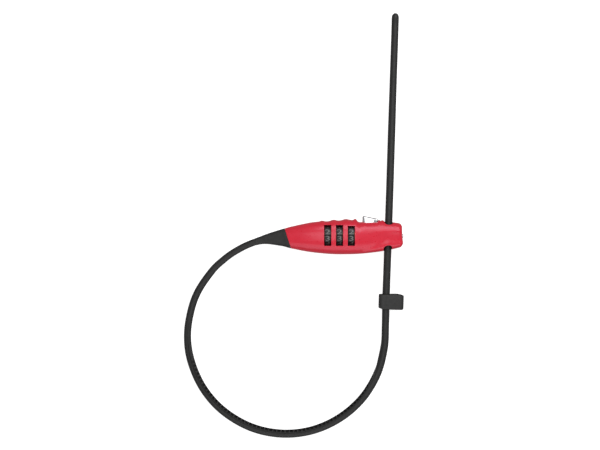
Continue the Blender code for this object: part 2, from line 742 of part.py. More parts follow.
def blend_ring(x, share, shrink=0.0):
    """A ring of the boot: the cable's circle at share 0, and the head's outline at share 1."""
    head = half_ring(HEAD_LEFT, ridged=False) + half_ring(HEAD_LEFT, back=True, ridged=False)[-2:0:-1]
    top, bottom = along(TOP_LINE, HEAD_LEFT), along(BOTTOM_LINE, HEAD_LEFT)
    head_y = (top + bottom) / 2
    centre = cable_at_x(x)
    ring = []
    for i, (hx, hy, hz) in enumerate(head):
        angle = 2 * pi * i / len(head)
        round_y = centre.y + (CABLE_RADIUS + 0.85) * cos(angle)
        round_z = centre.z + (CABLE_RADIUS + 0.85) * sin(angle)
        inward = 1 - shrink / 5.0
        full_y = head_y + (hy - head_y) * inward
        full_z = 5.8 + (hz - 5.8) * inward
        y = round_y + (full_y - round_y) * share
        z = round_z + (full_z - round_z) * share
        ring.append((x + JOINT_SLANT * share * (y - head_y), y, z))
    return ring


def cable_at_x(x):
    """The point of the cable's fixed end at this x."""
    return min(smooth_route(CABLE_ROUTE[:7], 0.3), key=lambda p: abs(p.x - x))


def bore_ring(x, count):
    """A ring of the boot's bore, square to the cable."""
    centre = cable_at_x(x)
    reach = CABLE_RADIUS + 0.42
    return [(x, centre.y + reach * cos(2 * pi * i / count), centre.z + reach * sin(2 * pi * i / count))
            for i in range(count)]


def strain_relief_boot():
    """A hollow taper from the head's outline to the cable, with a plug that fits inside the head."""
    joint = HEAD_LEFT - GAP
    tip = -43.2
    outside = []
    for i in range(10):
        share = i / 9
        outside.append(blend_ring(tip + (joint - tip) * share, share ** 1.3))
    plug = [blend_ring(x, 1.0, shrink=2.0) for x in (joint, joint + 3.0)]
    count = len(plug[0])
    bore = [bore_ring(x, count) for x in (joint + 3.0, -28.0, -33.0, -38.0, tip)]
    loft("strain_relief_boot", outside + plug + bore, "black_rubber", closed=True)


def cable_and_tip():
    tube("cable", CABLE_POINTS, CABLE_RADIUS, "black_rubber")
    end = CABLE_POINTS[-1]
    direction = (end - CABLE_POINTS[-2]).normalized()
    radius = CABLE_RADIUS + 0.05
    shoulder = 0.3
    dome = arc((TIP_LENGTH - radius, 0), radius, 0, 90, 5)
    profile = [(r, height) for height, r in dome] + [(radius, shoulder), (0, shoulder)]
    up_to_z = turned_to(direction, end) @ Matrix.Rotation(-pi / 2, 4, "X")
    turned("cable_tip", profile, up_to_z, "black_rubber", steps=14)


def cable_keeper():
    """A rubber band on the cable with a second, empty loop for the tail."""
    place, direction = cable_at_y(KEEPER_Y)
    left, right = -KEEPER_LEFT, KEEPER_WIDTH - KEEPER_LEFT
    half, tall = KEEPER_HEIGHT / 2, KEEPER_LOOP_HEIGHT / 2
    outline = rounded_box(left, right, -half, half, 2.2, 5)
    hole = arc((0, 0), CABLE_RADIUS + 0.3, 0, 340, 17)
    loop = rounded_box(KEEPER_LOOP_LEFT - KEEPER_LEFT, right - 1.2, -tall, tall, 0.9, 3)
    matrix = turned_to(direction, place) @ ACROSS_XZ
    plate("cable_keeper", [outline, hole, loop], KEEPER_LENGTH, matrix, "black_rubber")


def main():
    shells()
    case_screws()
    dial_wheels()
    dial_hubs()
    lock_spindle()
    bearing_plates()
    detent_leaf()
    springs()
    release_button()
    button_stem()
    ratchet_pawl()
    cable_guide()
    reset_parts()
    cable_anchor()
    strain_relief_boot()
    cable_and_tip()
    cable_keeper()


main()
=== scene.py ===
"""The looks of the cable luggage lock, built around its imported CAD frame.

Lengths are in millimetres in the frame's own axes, and at() turns them into metres. X runs from the
cable's fixed end to the reset pin, Y from the loop to the release button, and Z out of the dials.
"""

import json
from math import acos, atan2, cos, exp, pi, radians, sin, sqrt

import bmesh
import bpy
from mathutils import Matrix, Vector


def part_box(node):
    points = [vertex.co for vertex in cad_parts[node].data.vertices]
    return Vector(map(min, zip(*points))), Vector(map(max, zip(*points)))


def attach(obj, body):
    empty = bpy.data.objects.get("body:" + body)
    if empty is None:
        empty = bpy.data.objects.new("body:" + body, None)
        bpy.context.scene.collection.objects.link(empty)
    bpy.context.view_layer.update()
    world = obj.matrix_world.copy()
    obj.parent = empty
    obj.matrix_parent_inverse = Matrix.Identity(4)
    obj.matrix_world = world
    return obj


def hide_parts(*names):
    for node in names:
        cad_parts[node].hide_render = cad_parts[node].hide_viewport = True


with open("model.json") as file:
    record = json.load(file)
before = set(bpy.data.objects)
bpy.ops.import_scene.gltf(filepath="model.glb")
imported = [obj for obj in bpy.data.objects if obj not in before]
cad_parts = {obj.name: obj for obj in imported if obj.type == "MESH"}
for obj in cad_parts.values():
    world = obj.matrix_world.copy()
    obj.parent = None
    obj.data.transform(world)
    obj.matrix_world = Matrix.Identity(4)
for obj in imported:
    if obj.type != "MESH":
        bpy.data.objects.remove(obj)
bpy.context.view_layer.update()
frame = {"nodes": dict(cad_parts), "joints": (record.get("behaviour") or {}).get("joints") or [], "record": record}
NODES = frame["nodes"]
JOINTS = {joint["name"]: joint for joint in frame["joints"]}
MM = 0.001


def at(x, y, z):
    """A point in metres from millimetres."""
    return Vector((x, y, z)) * MM


def box_mm(node):
    """The lowest and highest corner of a CAD node, in millimetres."""
    low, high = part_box(node)
    return low / MM, high / MM


# ---------------------------------------------------------------- sizes

DIALS = (1, 2, 3)
SCREWS = (1, 2, 3, 4)
DIAL_PLACES = [JOINTS[f"dial_{i}_turn"]["pos_m"][0] / MM for i in DIALS]
DIAL_AXIS_Z = JOINTS["dial_1_turn"]["pos_m"][2] / MM
WHEEL_LOW, WHEEL_HIGH = box_mm("dial_wheel_1")
DIAL_RADIUS = (WHEEL_HIGH.y - WHEEL_LOW.y) / 2
DIAL_WIDTH = 3.85
DIGITS = 10
WHEEL_BORE = 3.75

# The head's form, as in the CAD
HEAD_LEFT = -24.65
HEAD_RIGHT = 42.9
SPLIT_Z = 7.0
SPLIT_GAP = 0.3
WALL = 1.5
BACK_WALL = 1.2
BACK_SWELL = 0.6
FRONT_POWER = 2.6
BACK_POWER = 3.2
JOINT_SLANT = -0.32
SLANT_END = -12.0
TOP_LINE = (
    (-24.65, 3.9), (-22.2, 4.65), (-18.6, 5.65), (-15.4, 6.5), (-12.0, 7.3), (-8.4, 7.8),
    (-5.3, 8.0), (-1.4, 8.1), (5.4, 8.6), (12.6, 8.9), (15.2, 8.6), (17.4, 7.65), (20.0, 7.75),
    (28.0, 7.8), (32.3, 7.75), (37.1, 7.5), (39.2, 7.25), (41.0, 7.05), (42.4, 6.2), (42.9, 5.0),
)
BOTTOM_LINE = (
    (-24.65, -7.85), (-22.5, -8.3), (-18.9, -8.93), (-15.4, -9.42), (-11.9, -9.93), (-8.4, -10.37),
    (-4.8, -10.75), (-1.3, -11.05), (4.0, -11.3), (9.2, -11.3), (14.5, -11.2), (19.8, -10.85),
    (25.0, -10.3), (30.4, -9.55), (34.0, -8.85), (37.4, -8.2), (40.2, -7.6), (41.8, -7.2),
    (42.6, -6.5), (42.9, -5.4),
)
FRONT_LINE = (
    (-24.65, 11.6), (-15.0, 13.6), (-5.0, 14.9), (5.6, 15.3), (13.0, 15.1), (20.0, 14.3),
    (28.0, 13.5), (36.0, 12.9), (40.6, 12.3), (42.3, 11.6), (42.9, 10.6),
)
RIDGES = (
    (-4.5, 0.45, 1.3), (2.0, 0.65, 1.8), (9.3, 0.6, 1.9), (15.0, 0.95, 0.9),
    (28.8, 1.2, 0.7), (30.8, 0.95, 1.0),
)  # place, height and half width
END_WAVE_START = 36.0
END_INSET = 0.55
END_WAVE = 0.15
END_SWELL = 0.45
END_SWELL_Y = -4.8
END_SWELL_SPREAD = 1.1
WINDOW_WIDTH = 4.15
WINDOW_LOW = -6.27
WINDOW_HIGH = 5.88
WINDOW_STEP = 0.55  # how much lower the third window's upper end lies
STATION_STEP = 0.45
EDGE_ROWS = 12
FACE_ROWS = 26
FACE_HIGH = 0.64  # shares of the half height at which the flat of the face ends away from the windows
FACE_LOW = 0.58
FACE_BLEND = 7.0
STATION_MARKS = (27.6, 32.4, 40.6)
END_SHARES = (0.9, 0.7, 0.4, 0.0)
END_DOME = 0.12
FRONT_EDGE = 0.22
BACK_EDGE = 0.2

# The scoop in the front face, under a crest that runs down to the right
CREST_LINE = (
    (12.0, 7.6), (15.0, 7.0), (16.8, 6.3), (19.5, 4.8), (22.2, 3.7), (24.9, 3.0), (27.6, 2.6),
    (33.0, 2.45), (37.0, 2.2), (43.0, 1.9),
)
HOLLOW_LINE = (
    (12.0, -11.0), (20.0, -9.0), (24.0, -7.2), (28.0, -5.2), (32.0, -3.4), (36.0, -2.7), (43.0, -2.7),
)
SCOOP_DEPTH = 1.0
SCOOP_START = 13.0
SCOOP_FULL = 27.0
CREST_ROUND = 0.05
LIP_PLACE = (34.1, -4.9)  # a low swelling above the cable's lower mouth
LIP_HEIGHT = 0.3
LIP_SPREAD = 2.2

# The cable
CABLE_RADIUS = 2.0
CABLE_ROUTE = (
    (-18.2, -0.7, 6.3), (-25.0, -0.9, 6.2), (-33.0, -1.5, 5.8), (-38.5, -2.4, 5.4), (-43.2, -3.8, 5.0),
    (-50.1, -6.6, 4.3), (-57.2, -10.6, 3.6), (-63.0, -15.0, 3.0), (-68.98, -20.74, 2.5),
    (-77.13, -32.43, 2.1), (-81.55, -44.06, 2.1), (-83.7, -58.5, 2.1), (-81.99, -73.48, 2.1),
    (-75.02, -89.8, 2.1), (-63.44, -103.29, 2.1), (-47.13, -113.12, 2.1), (-29.22, -117.13, 2.1),
    (-11.33, -115.49, 2.1), (5.09, -108.51, 2.1), (18.53, -97.2, 2.1), (27.83, -82.4, 2.2),
    (32.1, -66.63, 2.6), (32.75, -53.0, 3.35), (33.0, -40.0, 4.3), (33.4, -27.0, 5.25),
    (33.85, -14.0, 6.1), (34.25, -1.0, 6.5), (34.65, 10.0, 6.3), (35.3, 28.0, 5.3), (36.1, 52.0, 3.75),
    (36.9, 76.0, 2.6), (37.6, 97.0, 2.15), (38.2, 114.5, 2.1), (38.5, 124.6, 2.1),
)
TOOTH_PITCH = 2.53
TIP_LENGTH = 6.0
NOSE_LENGTH = 3.0
NOSE_POWER = 0.86

# The camera's view
VIEW_CENTRE = (-17.5, 5.9, 7.0)
VIEW_WIDTH = 352.2
LENS = 180.0
SENSOR = 36.0


# ---------------------------------------------------------------- numbers


def smooth_step(value, start, end):
    """0 at start, 1 at end, and a smooth rise between them. The end may lie below the start."""
    t = min(max((value - start) / (end - start), 0.0), 1.0)
    return t * t * (3 - 2 * t)


def along(line, x):
    """The height of a smooth line through (x, height) points: a cubic Hermite curve."""
    last = len(line) - 1
    k = 0
    while k < last - 1 and x > line[k + 1][0]:
        k += 1

    def slope(i):
        low, high = max(i - 1, 0), min(i + 1, last)
        return (line[high][1] - line[low][1]) / (line[high][0] - line[low][0])

    (x0, y0), (x1, y1) = line[k], line[k + 1]
    span = x1 - x0
    t = min(max((x - x0) / span, 0.0), 1.0)
    start = y0 * (1 + 2 * t) * (1 - t) ** 2 + slope(k) * span * t * (1 - t) ** 2
    return start + y1 * t * t * (3 - 2 * t) + slope(k + 1) * span * t * t * (t - 1)


def signed_power(value, power):
    return (1 if value >= 0 else -1) * abs(value) ** power


def smooth_route(route, step):
    """Points about a step apart along the Catmull-Rom curve through the route's points."""
    points = [Vector(p) for p in route]
    points = [2 * points[0] - points[1], *points, 2 * points[-1] - points[-2]]
    fine = []
    for a, b, c, d in zip(points, points[1:], points[2:], points[3:]):
        for i in range(48):
            t = i / 48
            fine.append(
                0.5 * (2 * b + (c - a) * t + (2 * a - 5 * b + 4 * c - d) * t ** 2
                       + (3 * b - a - 3 * c + d) * t ** 3)
            )
    fine.append(points[-2])
    runs = [(b - a).length for a, b in zip(fine, fine[1:])]
    length = sum(runs)
    count = round(length / step)
    result, run, k = [fine[0]], 0.0, 0
    for i in range(1, count):
        goal = length * i / count
        while run + runs[k] < goal:
            run += runs[k]
            k += 1
        result.append(fine[k].lerp(fine[k + 1], (goal - run) / runs[k]))
    return [*result, fine[-1]]


def arc(centre, radius, start, end, steps):
    """Points on an arc, both ends among them. Angles are in degrees."""
    return [
        (centre[0] + radius * cos(radians(start + (end - start) * i / steps)),
         centre[1] + radius * sin(radians(start + (end - start) * i / steps)))
        for i in range(steps + 1)
    ]


def rounded_box(left, right, low, high, corner, steps):
    """The outline of a box with round corners."""
    points = arc((right - corner, high - corner), corner, 0, 90, steps)
    points += arc((left + corner, high - corner), corner, 90, 180, steps)
    points += arc((left + corner, low + corner), corner, 180, 270, steps)
    return points + arc((right - corner, low + corner), corner, 270, 360, steps)


# ---------------------------------------------------------------- materials


def new_material(name, colour, roughness, metallic=0.0):
    """A Principled material, with its node tree and shader."""
    made = bpy.data.materials.new(name)
    made.use_nodes = True
    shader = made.node_tree.nodes["Principled BSDF"]
    shader.inputs["Base Color"].default_value = (*colour, 1)
    shader.inputs["Roughness"].default_value = roughness
    shader.inputs["Metallic"].default_value = metallic
    made.diffuse_color = (*colour, 1)
    return made, made.node_tree, shader


def noise(tree, scale, detail=3.0, stretch=(1, 1, 1)):
    """Noise over the object's own coordinates: scale is in features per metre."""
    place = tree.nodes.new("ShaderNodeTexCoord")
    mapping = tree.nodes.new("ShaderNodeMapping")
    mapping.inputs["Scale"].default_value = stretch
    texture = tree.nodes.new("ShaderNodeTexNoise")
    texture.inputs["Scale"].default_value = scale
    texture.inputs["Detail"].default_value = detail
    tree.links.new(place.outputs["Object"], mapping.inputs["Vector"])
    tree.links.new(mapping.outputs["Vector"], texture.inputs["Vector"])
    return texture.outputs["Fac"]


def vary_colour(tree, shader, fac, dark, light):
    """The base colour from noise, between two colours."""
    ramp = tree.nodes.new("ShaderNodeValToRGB")
    ramp.color_ramp.elements[0].position = 0.35
    ramp.color_ramp.elements[0].color = (*dark, 1)
    ramp.color_ramp.elements[1].position = 0.65
    ramp.color_ramp.elements[1].color = (*light, 1)
    tree.links.new(fac, ramp.inputs["Fac"])
    tree.links.new(ramp.outputs["Color"], shader.inputs["Base Color"])


def vary_roughness(tree, shader, fac, low, high):
    span = tree.nodes.new("ShaderNodeMapRange")
    span.inputs["From Min"].default_value = 0.3
    span.inputs["From Max"].default_value = 0.7
    span.inputs["To Min"].default_value = low
    span.inputs["To Max"].default_value = high
    tree.links.new(fac, span.inputs["Value"])
    tree.links.new(span.outputs["Result"], shader.inputs["Roughness"])


def add_bump(tree, shader, fac, depth, strength=1.0):
    """A bump whose depth is in millimetres."""
    bump = tree.nodes.new("ShaderNodeBump")
    bump.inputs["Strength"].default_value = strength
    bump.inputs["Distance"].default_value = depth * MM
    tree.links.new(fac, bump.inputs["Height"])
    tree.links.new(bump.outputs["Normal"], shader.inputs["Normal"])


def red_plastic():
    """Glossy moulded plastic: a clear skin, faint orange peel and a slight mottle in the red."""
    made, tree, shader = new_material("red_moulded_plastic", (0.735, 0.019, 0.04), 0.3)
    shader.inputs["Coat Weight"].default_value = 0.25
    shader.inputs["Coat Roughness"].default_value = 0.12
    shader.inputs["Specular Tint"].default_value = (0.95, 0.75, 1.0, 1)
    vary_colour(tree, shader, noise(tree, 160, 3), (0.725, 0.0175, 0.038), (0.745, 0.0205, 0.042))
    vary_roughness(tree, shader, noise(tree, 900, 5), 0.26, 0.36)
    add_bump(tree, shader, noise(tree, 700, 1), 0.006)
    return made


def black_rubber():
    """Soft matt rubber with a fine grain."""
    made, tree, shader = new_material("black_rubber_grain", (0.02, 0.02, 0.0195), 0.6)
    vary_colour(tree, shader, noise(tree, 500, 4), (0.018, 0.018, 0.0175), (0.024, 0.024, 0.0235))
    vary_roughness(tree, shader, noise(tree, 1500, 4), 0.5, 0.66)
    add_bump(tree, shader, noise(tree, 5200, 3), 0.03)
    return made


def cable_nylon():
    """Extruded nylon jacket: satin, with a slight waviness."""
    made, tree, shader = new_material("cable_nylon", (0.0195, 0.0195, 0.0195), 0.48)
    shader.inputs["Specular IOR Level"].default_value = 0.4
    vary_colour(tree, shader, noise(tree, 420, 3), (0.0175, 0.0175, 0.0175), (0.0215, 0.0215, 0.0215))
    vary_roughness(tree, shader, noise(tree, 1100, 4), 0.42, 0.54)
    add_bump(tree, shader, noise(tree, 2600, 3), 0.015)
    return made


def pocket_nylon():
    """The jacket between the teeth: rougher than the rest, and darker in colour as painted shade in the tooth
    pockets.
    """
    made, tree, shader = new_material("cable_nylon_pocket_painted_shade", (0.011, 0.011, 0.011), 0.7)
    shader.inputs["Specular IOR Level"].default_value = 0.2
    vary_colour(tree, shader, noise(tree, 420, 3), (0.010, 0.010, 0.010), (0.012, 0.012, 0.012))
    vary_roughness(tree, shader, noise(tree, 1100, 4), 0.64, 0.76)
    add_bump(tree, shader, noise(tree, 2600, 3), 0.015)
    return made


def dial_plastic():
    made, tree, shader = new_material("dial_black_plastic", (0.008, 0.008, 0.008), 0.4)
    vary_colour(tree, shader, noise(tree, 900, 3), (0.006, 0.006, 0.006), (0.010, 0.010, 0.010))
    vary_roughness(tree, shader, noise(tree, 2200, 3), 0.34, 0.48)
    add_bump(tree, shader, noise(tree, 4200, 2), 0.008)
    return made


def digit_paint():
    made, tree, shader = new_material("digit_paint", (0.16, 0.16, 0.155), 0.5)
    vary_colour(tree, shader, noise(tree, 2600, 4), (0.16, 0.16, 0.155), (0.22, 0.22, 0.215))
    vary_roughness(tree, shader, noise(tree, 3200, 3), 0.45, 0.6)
    return made


def metal(name, colour, roughness, scale, stretch, scratch):
    """A metal with a directional finish: stretch is how the noise is drawn out."""
    made, tree, shader = new_material(name, colour, roughness, 1.0)
    fine = noise(tree, scale, 5, stretch)
    light = tuple(min(1.0, c * 1.06) for c in colour)
    dark = tuple(c * 0.93 for c in colour)
    vary_colour(tree, shader, noise(tree, scale / 4, 3), dark, light)
    vary_roughness(tree, shader, fine, roughness * 0.8, roughness * 1.3)
    add_bump(tree, shader, fine, scratch)
    return made


RED = red_plastic()
RUBBER = black_rubber()
NYLON = cable_nylon()
# Painted shade for the tooth pockets: a darker nylon for the faces in them.
POCKET_SHADE_NYLON = pocket_nylon()
DIAL_BLACK = dial_plastic()
DIGIT_GREY = digit_paint()
CHROME = metal("bright_chrome", (0.86, 0.86, 0.88), 0.12, 1800, (1, 1, 6), 0.002)
STEEL = metal("pressed_steel", (0.5, 0.5, 0.51), 0.32, 2400, (1, 8, 1), 0.006)
SCREW_STEEL = metal("screw_steel", (0.46, 0.46, 0.47), 0.28, 3000, (4, 4, 1), 0.005)
SPRING_STEEL = metal("spring_wire_steel", (0.4, 0.4, 0.42), 0.34, 2600, (1, 1, 5), 0.004)
ZINC = metal("cast_zinc", (0.46, 0.46, 0.48), 0.5, 1500, (1, 1, 1), 0.02)
BRASS = metal("turned_brass", (0.70, 0.47, 0.17), 0.3, 2200, (8, 1, 1), 0.006)
SLOT_MATERIALS = {
    "red_shell": RED, "black_rubber": RUBBER, "cable_black": NYLON, "black_dial": DIAL_BLACK,
    "chrome": CHROME, "steel": STEEL, "screw_steel": SCREW_STEEL, "spring_steel": SPRING_STEEL,
    "zinc": ZINC, "brass": BRASS,
}


# ---------------------------------------------------------------- meshes


def to_object(name, bm, material, smooth=35):
    """A bmesh in metres as an object, with faces smooth across edges under an angle in degrees."""
    bmesh.ops.remove_doubles(bm, verts=bm.verts, dist=0.000001)
    bmesh.ops.recalc_face_normals(bm, faces=bm.faces)
    mesh = bpy.data.meshes.new(name)
    bm.to_mesh(mesh)
    bm.free()
    mesh.shade_smooth()
    mesh.set_sharp_from_angle(angle=radians(smooth))
    made = bpy.data.objects.new(name, mesh)
    bpy.context.scene.collection.objects.link(made)
    mesh.materials.append(material)
    return made


def grid_faces(bm, rows, closed=False, skip=()):
    """Quads between rows of vertices. Cells whose (row, column) is in skip are left out."""
    for k, (low, high) in enumerate(zip(rows, rows[1:])):
        count = len(low)
        for i in range(count if closed else count - 1):
            if (k, i) not in skip:
                j = (i + 1) % count
                corners = [low[i], low[j], high[j], high[i]]
                unique = list(dict.fromkeys(corners))
                if len(unique) > 2 and bm.faces.get(unique) is None:
                    bm.faces.new(unique)


def loft(name, rings, material, smooth=35, closed=False):
    """A skin over rings of points in mm. It is capped at both ends, or joined end to end when closed."""
    bm = bmesh.new()
    skin = [[bm.verts.new(at(*p)) for p in ring] for ring in rings]
    grid_faces(bm, [*skin, skin[0]] if closed else skin, closed=True)
    if not closed:
        bm.faces.new(list(reversed(skin[0])))
        bm.faces.new(skin[-1])
    return to_object(name, bm, material, smooth)


def revolve(name, profile, matrix, material, steps=48, smooth=35):
    """A profile of (radius, height) points in mm, turned about the matrix's Z axis, where its ends lie."""
    bm = bmesh.new()
    ends = [bm.verts.new(at(0, 0, profile[0][1])), bm.verts.new(at(0, 0, profile[-1][1]))]
    rings = []
    for r, z in profile[1:-1]:
        rings.append([bm.verts.new(at(r * cos(2 * pi * i / steps), r * sin(2 * pi * i / steps), z))
                      for i in range(steps)])
    grid_faces(bm, rings, closed=True)
    for i in range(steps):
        j = (i + 1) % steps
        bm.faces.new((ends[0], rings[0][i], rings[0][j]))
        bm.faces.new((ends[1], rings[-1][j], rings[-1][i]))
    bmesh.ops.transform(bm, matrix=matrix, verts=bm.verts)
    return to_object(name, bm, material, smooth)


def prism(name, outline, low, high, matrix, material, smooth=35):
    """An outline in mm given a thickness from low to high along the matrix's Z axis."""
    bm = bmesh.new()
    rings = [[bm.verts.new(at(x, y, z)) for x, y in outline] for z in (low, high)]
    grid_faces(bm, rings, closed=True)
    bm.faces.new(list(reversed(rings[0])))
    bm.faces.new(rings[1])
    bmesh.ops.transform(bm, matrix=matrix, verts=bm.verts)
    return to_object(name, bm, material, smooth)


def box(name, low, high):
    """A box between two corners in mm, for cutting."""
    outline = [(low[0], low[1]), (high[0], low[1]), (high[0], high[1]), (low[0], high[1])]
    return prism(name, outline, low[2], high[2], Matrix.Identity(4), RED)


def rod(name, start, end, radius, sides=48):
    """A cylinder between two points in mm, for cutting."""
    start, end = Vector(start), Vector(end)
    turn = Vector((0, 0, 1)).rotation_difference(end - start).to_matrix().to_4x4()
    matrix = Matrix.Translation(start * MM) @ turn
    length = (end - start).length
    return revolve(name, [(0, 0), (radius, 0), (radius, length), (0, length)], matrix, RED, sides)


def apply_modifiers(thing):
    """Puts the result of a thing's modifiers into its mesh."""
    shape = thing.evaluated_get(bpy.context.evaluated_depsgraph_get())
    thing.data = bpy.data.meshes.new_from_object(shape)
    thing.modifiers.clear()


def cut(thing, cutters):
    """Cuts the cutters from a thing and deletes them."""
    for cutter in cutters:
        step = thing.modifiers.new(cutter.name, "BOOLEAN")
        step.operation = "DIFFERENCE"
        step.solver = "EXACT"
        step.object = cutter
    apply_modifiers(thing)
    for cutter in cutters:
        bpy.data.objects.remove(cutter)
    return thing


def bevel(thing, width, segments=3, angle=50):
    """Rounds a thing's sharp edges: width is in mm."""
    step = thing.modifiers.new("rounding", "BEVEL")
    step.width = width * MM
    step.segments = segments
    step.limit_method = "ANGLE"
    step.angle_limit = radians(angle)
    step.harden_normals = False
    apply_modifiers(thing)
    thing.data.shade_smooth()
    thing.data.set_sharp_from_angle(angle=radians(40))
    return thing


def stand_for(thing, body, slot, *nodes):
    """The piece rides on a body and is shown in place of CAD nodes. The slot is not used."""
    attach(thing, body)
    if nodes:
        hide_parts(*nodes)
    return thing


# ---------------------------------------------------------------- the head


def ridge(x):
    """How far the finger ridges and the button's guards stand above the top line at x."""
    return sum(h * max(0.0, 1 - ((x - place) / (2 * w)) ** 2) ** 3 for place, h, w in RIDGES)


def outline_at(x, wall=0.0):
    """The middle and the half height of the head's outline at x."""
    top = along(TOP_LINE, x) - wall
    bottom = along(BOTTOM_LINE, x) + wall
    return (top + bottom) / 2, (top - bottom) / 2


def window_sides():
    return [x + side * WINDOW_WIDTH / 2 for x in DIAL_PLACES for side in (-1, 1)]


def stations(marks, step):
    """Places between the marks, evenly spaced, with one on every mark."""
    result = [marks[0]]
    for start, end in zip(marks, marks[1:]):
        count = max(1, round((end - start) / step))
        result += [start + (end - start) * (i + 1) / count for i in range(count)]
    return result


def face_ends(x):
    """The y of the rows that bound the flat of the face: the windows' ends, or a share of the outline."""
    middle, half = outline_at(x)
    sides = window_sides()
    near = smooth_step(x, sides[0] - FACE_BLEND, sides[0] - 0.5)
    near *= 1 - smooth_step(x, sides[-1] + 0.5, sides[-1] + FACE_BLEND)
    window_high = WINDOW_HIGH - WINDOW_STEP * smooth_step(x, sides[3], sides[4])
    high = middle + FACE_HIGH * half
    low = middle - FACE_LOW * half
    return high + (window_high - high) * near, low + (WINDOW_LOW - low) * near


def scoop(x, y):
    """How deep the face is scooped at x, y: hardly at all above the crest, most on the hollow line."""
    crest = along(CREST_LINE, x)
    hollow = along(HOLLOW_LINE, x)
    low = min(along(BOTTOM_LINE, x) * 0.93, hollow - 1.0)
    share = (crest - y) / (crest - hollow)
    soft = min(1.0, max(0.0, (share + sqrt(share * share + CREST_ROUND ** 2)) / 2))
    back = 1 - smooth_step(y, hollow, low) if y < hollow else 1.0
    from_lip = (x - LIP_PLACE[0]) ** 2 + (y - LIP_PLACE[1]) ** 2
    lip = LIP_HEIGHT * exp(-from_lip / LIP_SPREAD)
    return SCOOP_DEPTH * smooth_step(x, SCOOP_START, SCOOP_FULL) * soft * (2 - soft) * back - lip


def end_wave(x, y):
    """How far the right end is moved along X: a shallow wave, with a swelling at its lower corner."""
    wave = -END_INSET + END_WAVE * smooth_step(-y, -1.0, 2.0)
    wave += END_SWELL * exp(-((y - END_SWELL_Y) / END_SWELL_SPREAD) ** 2)
    return wave * smooth_step(x, END_WAVE_START, HEAD_RIGHT)


def front_ring(x, wall=0.0):
    """The front skin across X, from the top edge over the face to the bottom edge."""
    middle, half = outline_at(x, wall)
    rise = along(FRONT_LINE, x) - SPLIT_Z - wall
    slant = JOINT_SLANT * (1 - smooth_step(x, HEAD_LEFT, SLANT_END))
    high, low = face_ends(x)
    turn_high = acos(((high - middle) / half) ** (FRONT_POWER / 2))
    turn_low = pi - acos(((middle - low) / half) ** (FRONT_POWER / 2))
    places = []
    for i in range(EDGE_ROWS):
        turn = turn_high * i / EDGE_ROWS
        places.append((signed_power(cos(turn), 2 / FRONT_POWER), sin(turn) ** (2 / FRONT_POWER)))
    for i in range(FACE_ROWS + 1):
        edge = (high + (low - high) * i / FACE_ROWS - middle) / half
        places.append((edge, (1 - abs(edge) ** FRONT_POWER) ** (1 / FRONT_POWER)))
    for i in range(1, EDGE_ROWS + 1):
        turn = turn_low + (pi - turn_low) * i / EDGE_ROWS
        places.append((signed_power(cos(turn), 2 / FRONT_POWER), abs(sin(turn)) ** (2 / FRONT_POWER)))
    ring = []
    for edge, lift in places:
        y = middle + half * edge
        z = SPLIT_Z + rise * lift
        if not wall:
            z -= scoop(x, y) * smooth_step(lift, 0.2, 0.7)
            y += ridge(x) * max(0.0, edge) ** 6
        ring.append((x + slant * (y - middle) + end_wave(x, y), y, z))
    parting = SPLIT_Z + SPLIT_GAP / 2
    ring[0] = (*ring[0][:2], parting)
    ring[-1] = (*ring[-1][:2], parting)
    return ring


def back_ring(x, wall=0.0):
    """The back skin across X. One row lies on each edge of the flat."""
    middle, half = outline_at(x, wall)
    floor = BACK_WALL if wall else 0.0
    fall = SPLIT_Z + BACK_SWELL
    slant = JOINT_SLANT * (1 - smooth_step(x, HEAD_LEFT, SLANT_END))
    flat_turn = asin_power((SPLIT_Z - floor) / fall)
    turns = [flat_turn * i / EDGE_ROWS for i in range(EDGE_ROWS)]
    turns += [flat_turn + (pi - 2 * flat_turn) * i / FACE_ROWS for i in range(FACE_ROWS + 1)]
    turns += [pi - flat_turn * (EDGE_ROWS - i) / EDGE_ROWS for i in range(1, EDGE_ROWS + 1)]
    ring = []
    for turn in turns:
        edge = signed_power(cos(turn), 2 / BACK_POWER)
        y = middle + half * edge
        if not wall:
            y += ridge(x) * max(0.0, edge) ** 6
        z = max(SPLIT_Z - fall * abs(sin(turn)) ** (2 / BACK_POWER), floor)
        ring.append((x + slant * (y - middle) + end_wave(x, y), y, z))
    parting = SPLIT_Z - SPLIT_GAP / 2
    ring[0] = (*ring[0][:2], parting)
    ring[-1] = (*ring[-1][:2], parting)
    return ring


def asin_power(share):
    """The turn at which a back section has fallen by this share."""
    height = share ** (BACK_POWER / 2)
    return atan2(height, sqrt(1 - height * height))


def end_rings(ring, dome):
    """Copies of the last ring shrunk towards its middle on the parting plane, which close the right end."""
    middle = (ring[0][1] + ring[-1][1]) / 2
    level = ring[0][2]
    plane = ring[len(ring) // 2][0]
    result = []
    for share in END_SHARES:
        end = plane + dome * (1 - share * share)
        result.append([(end + (x - plane) * share, middle + (y - middle) * share, level + (z - level) * share)
                       for x, y, z in ring])
    return result


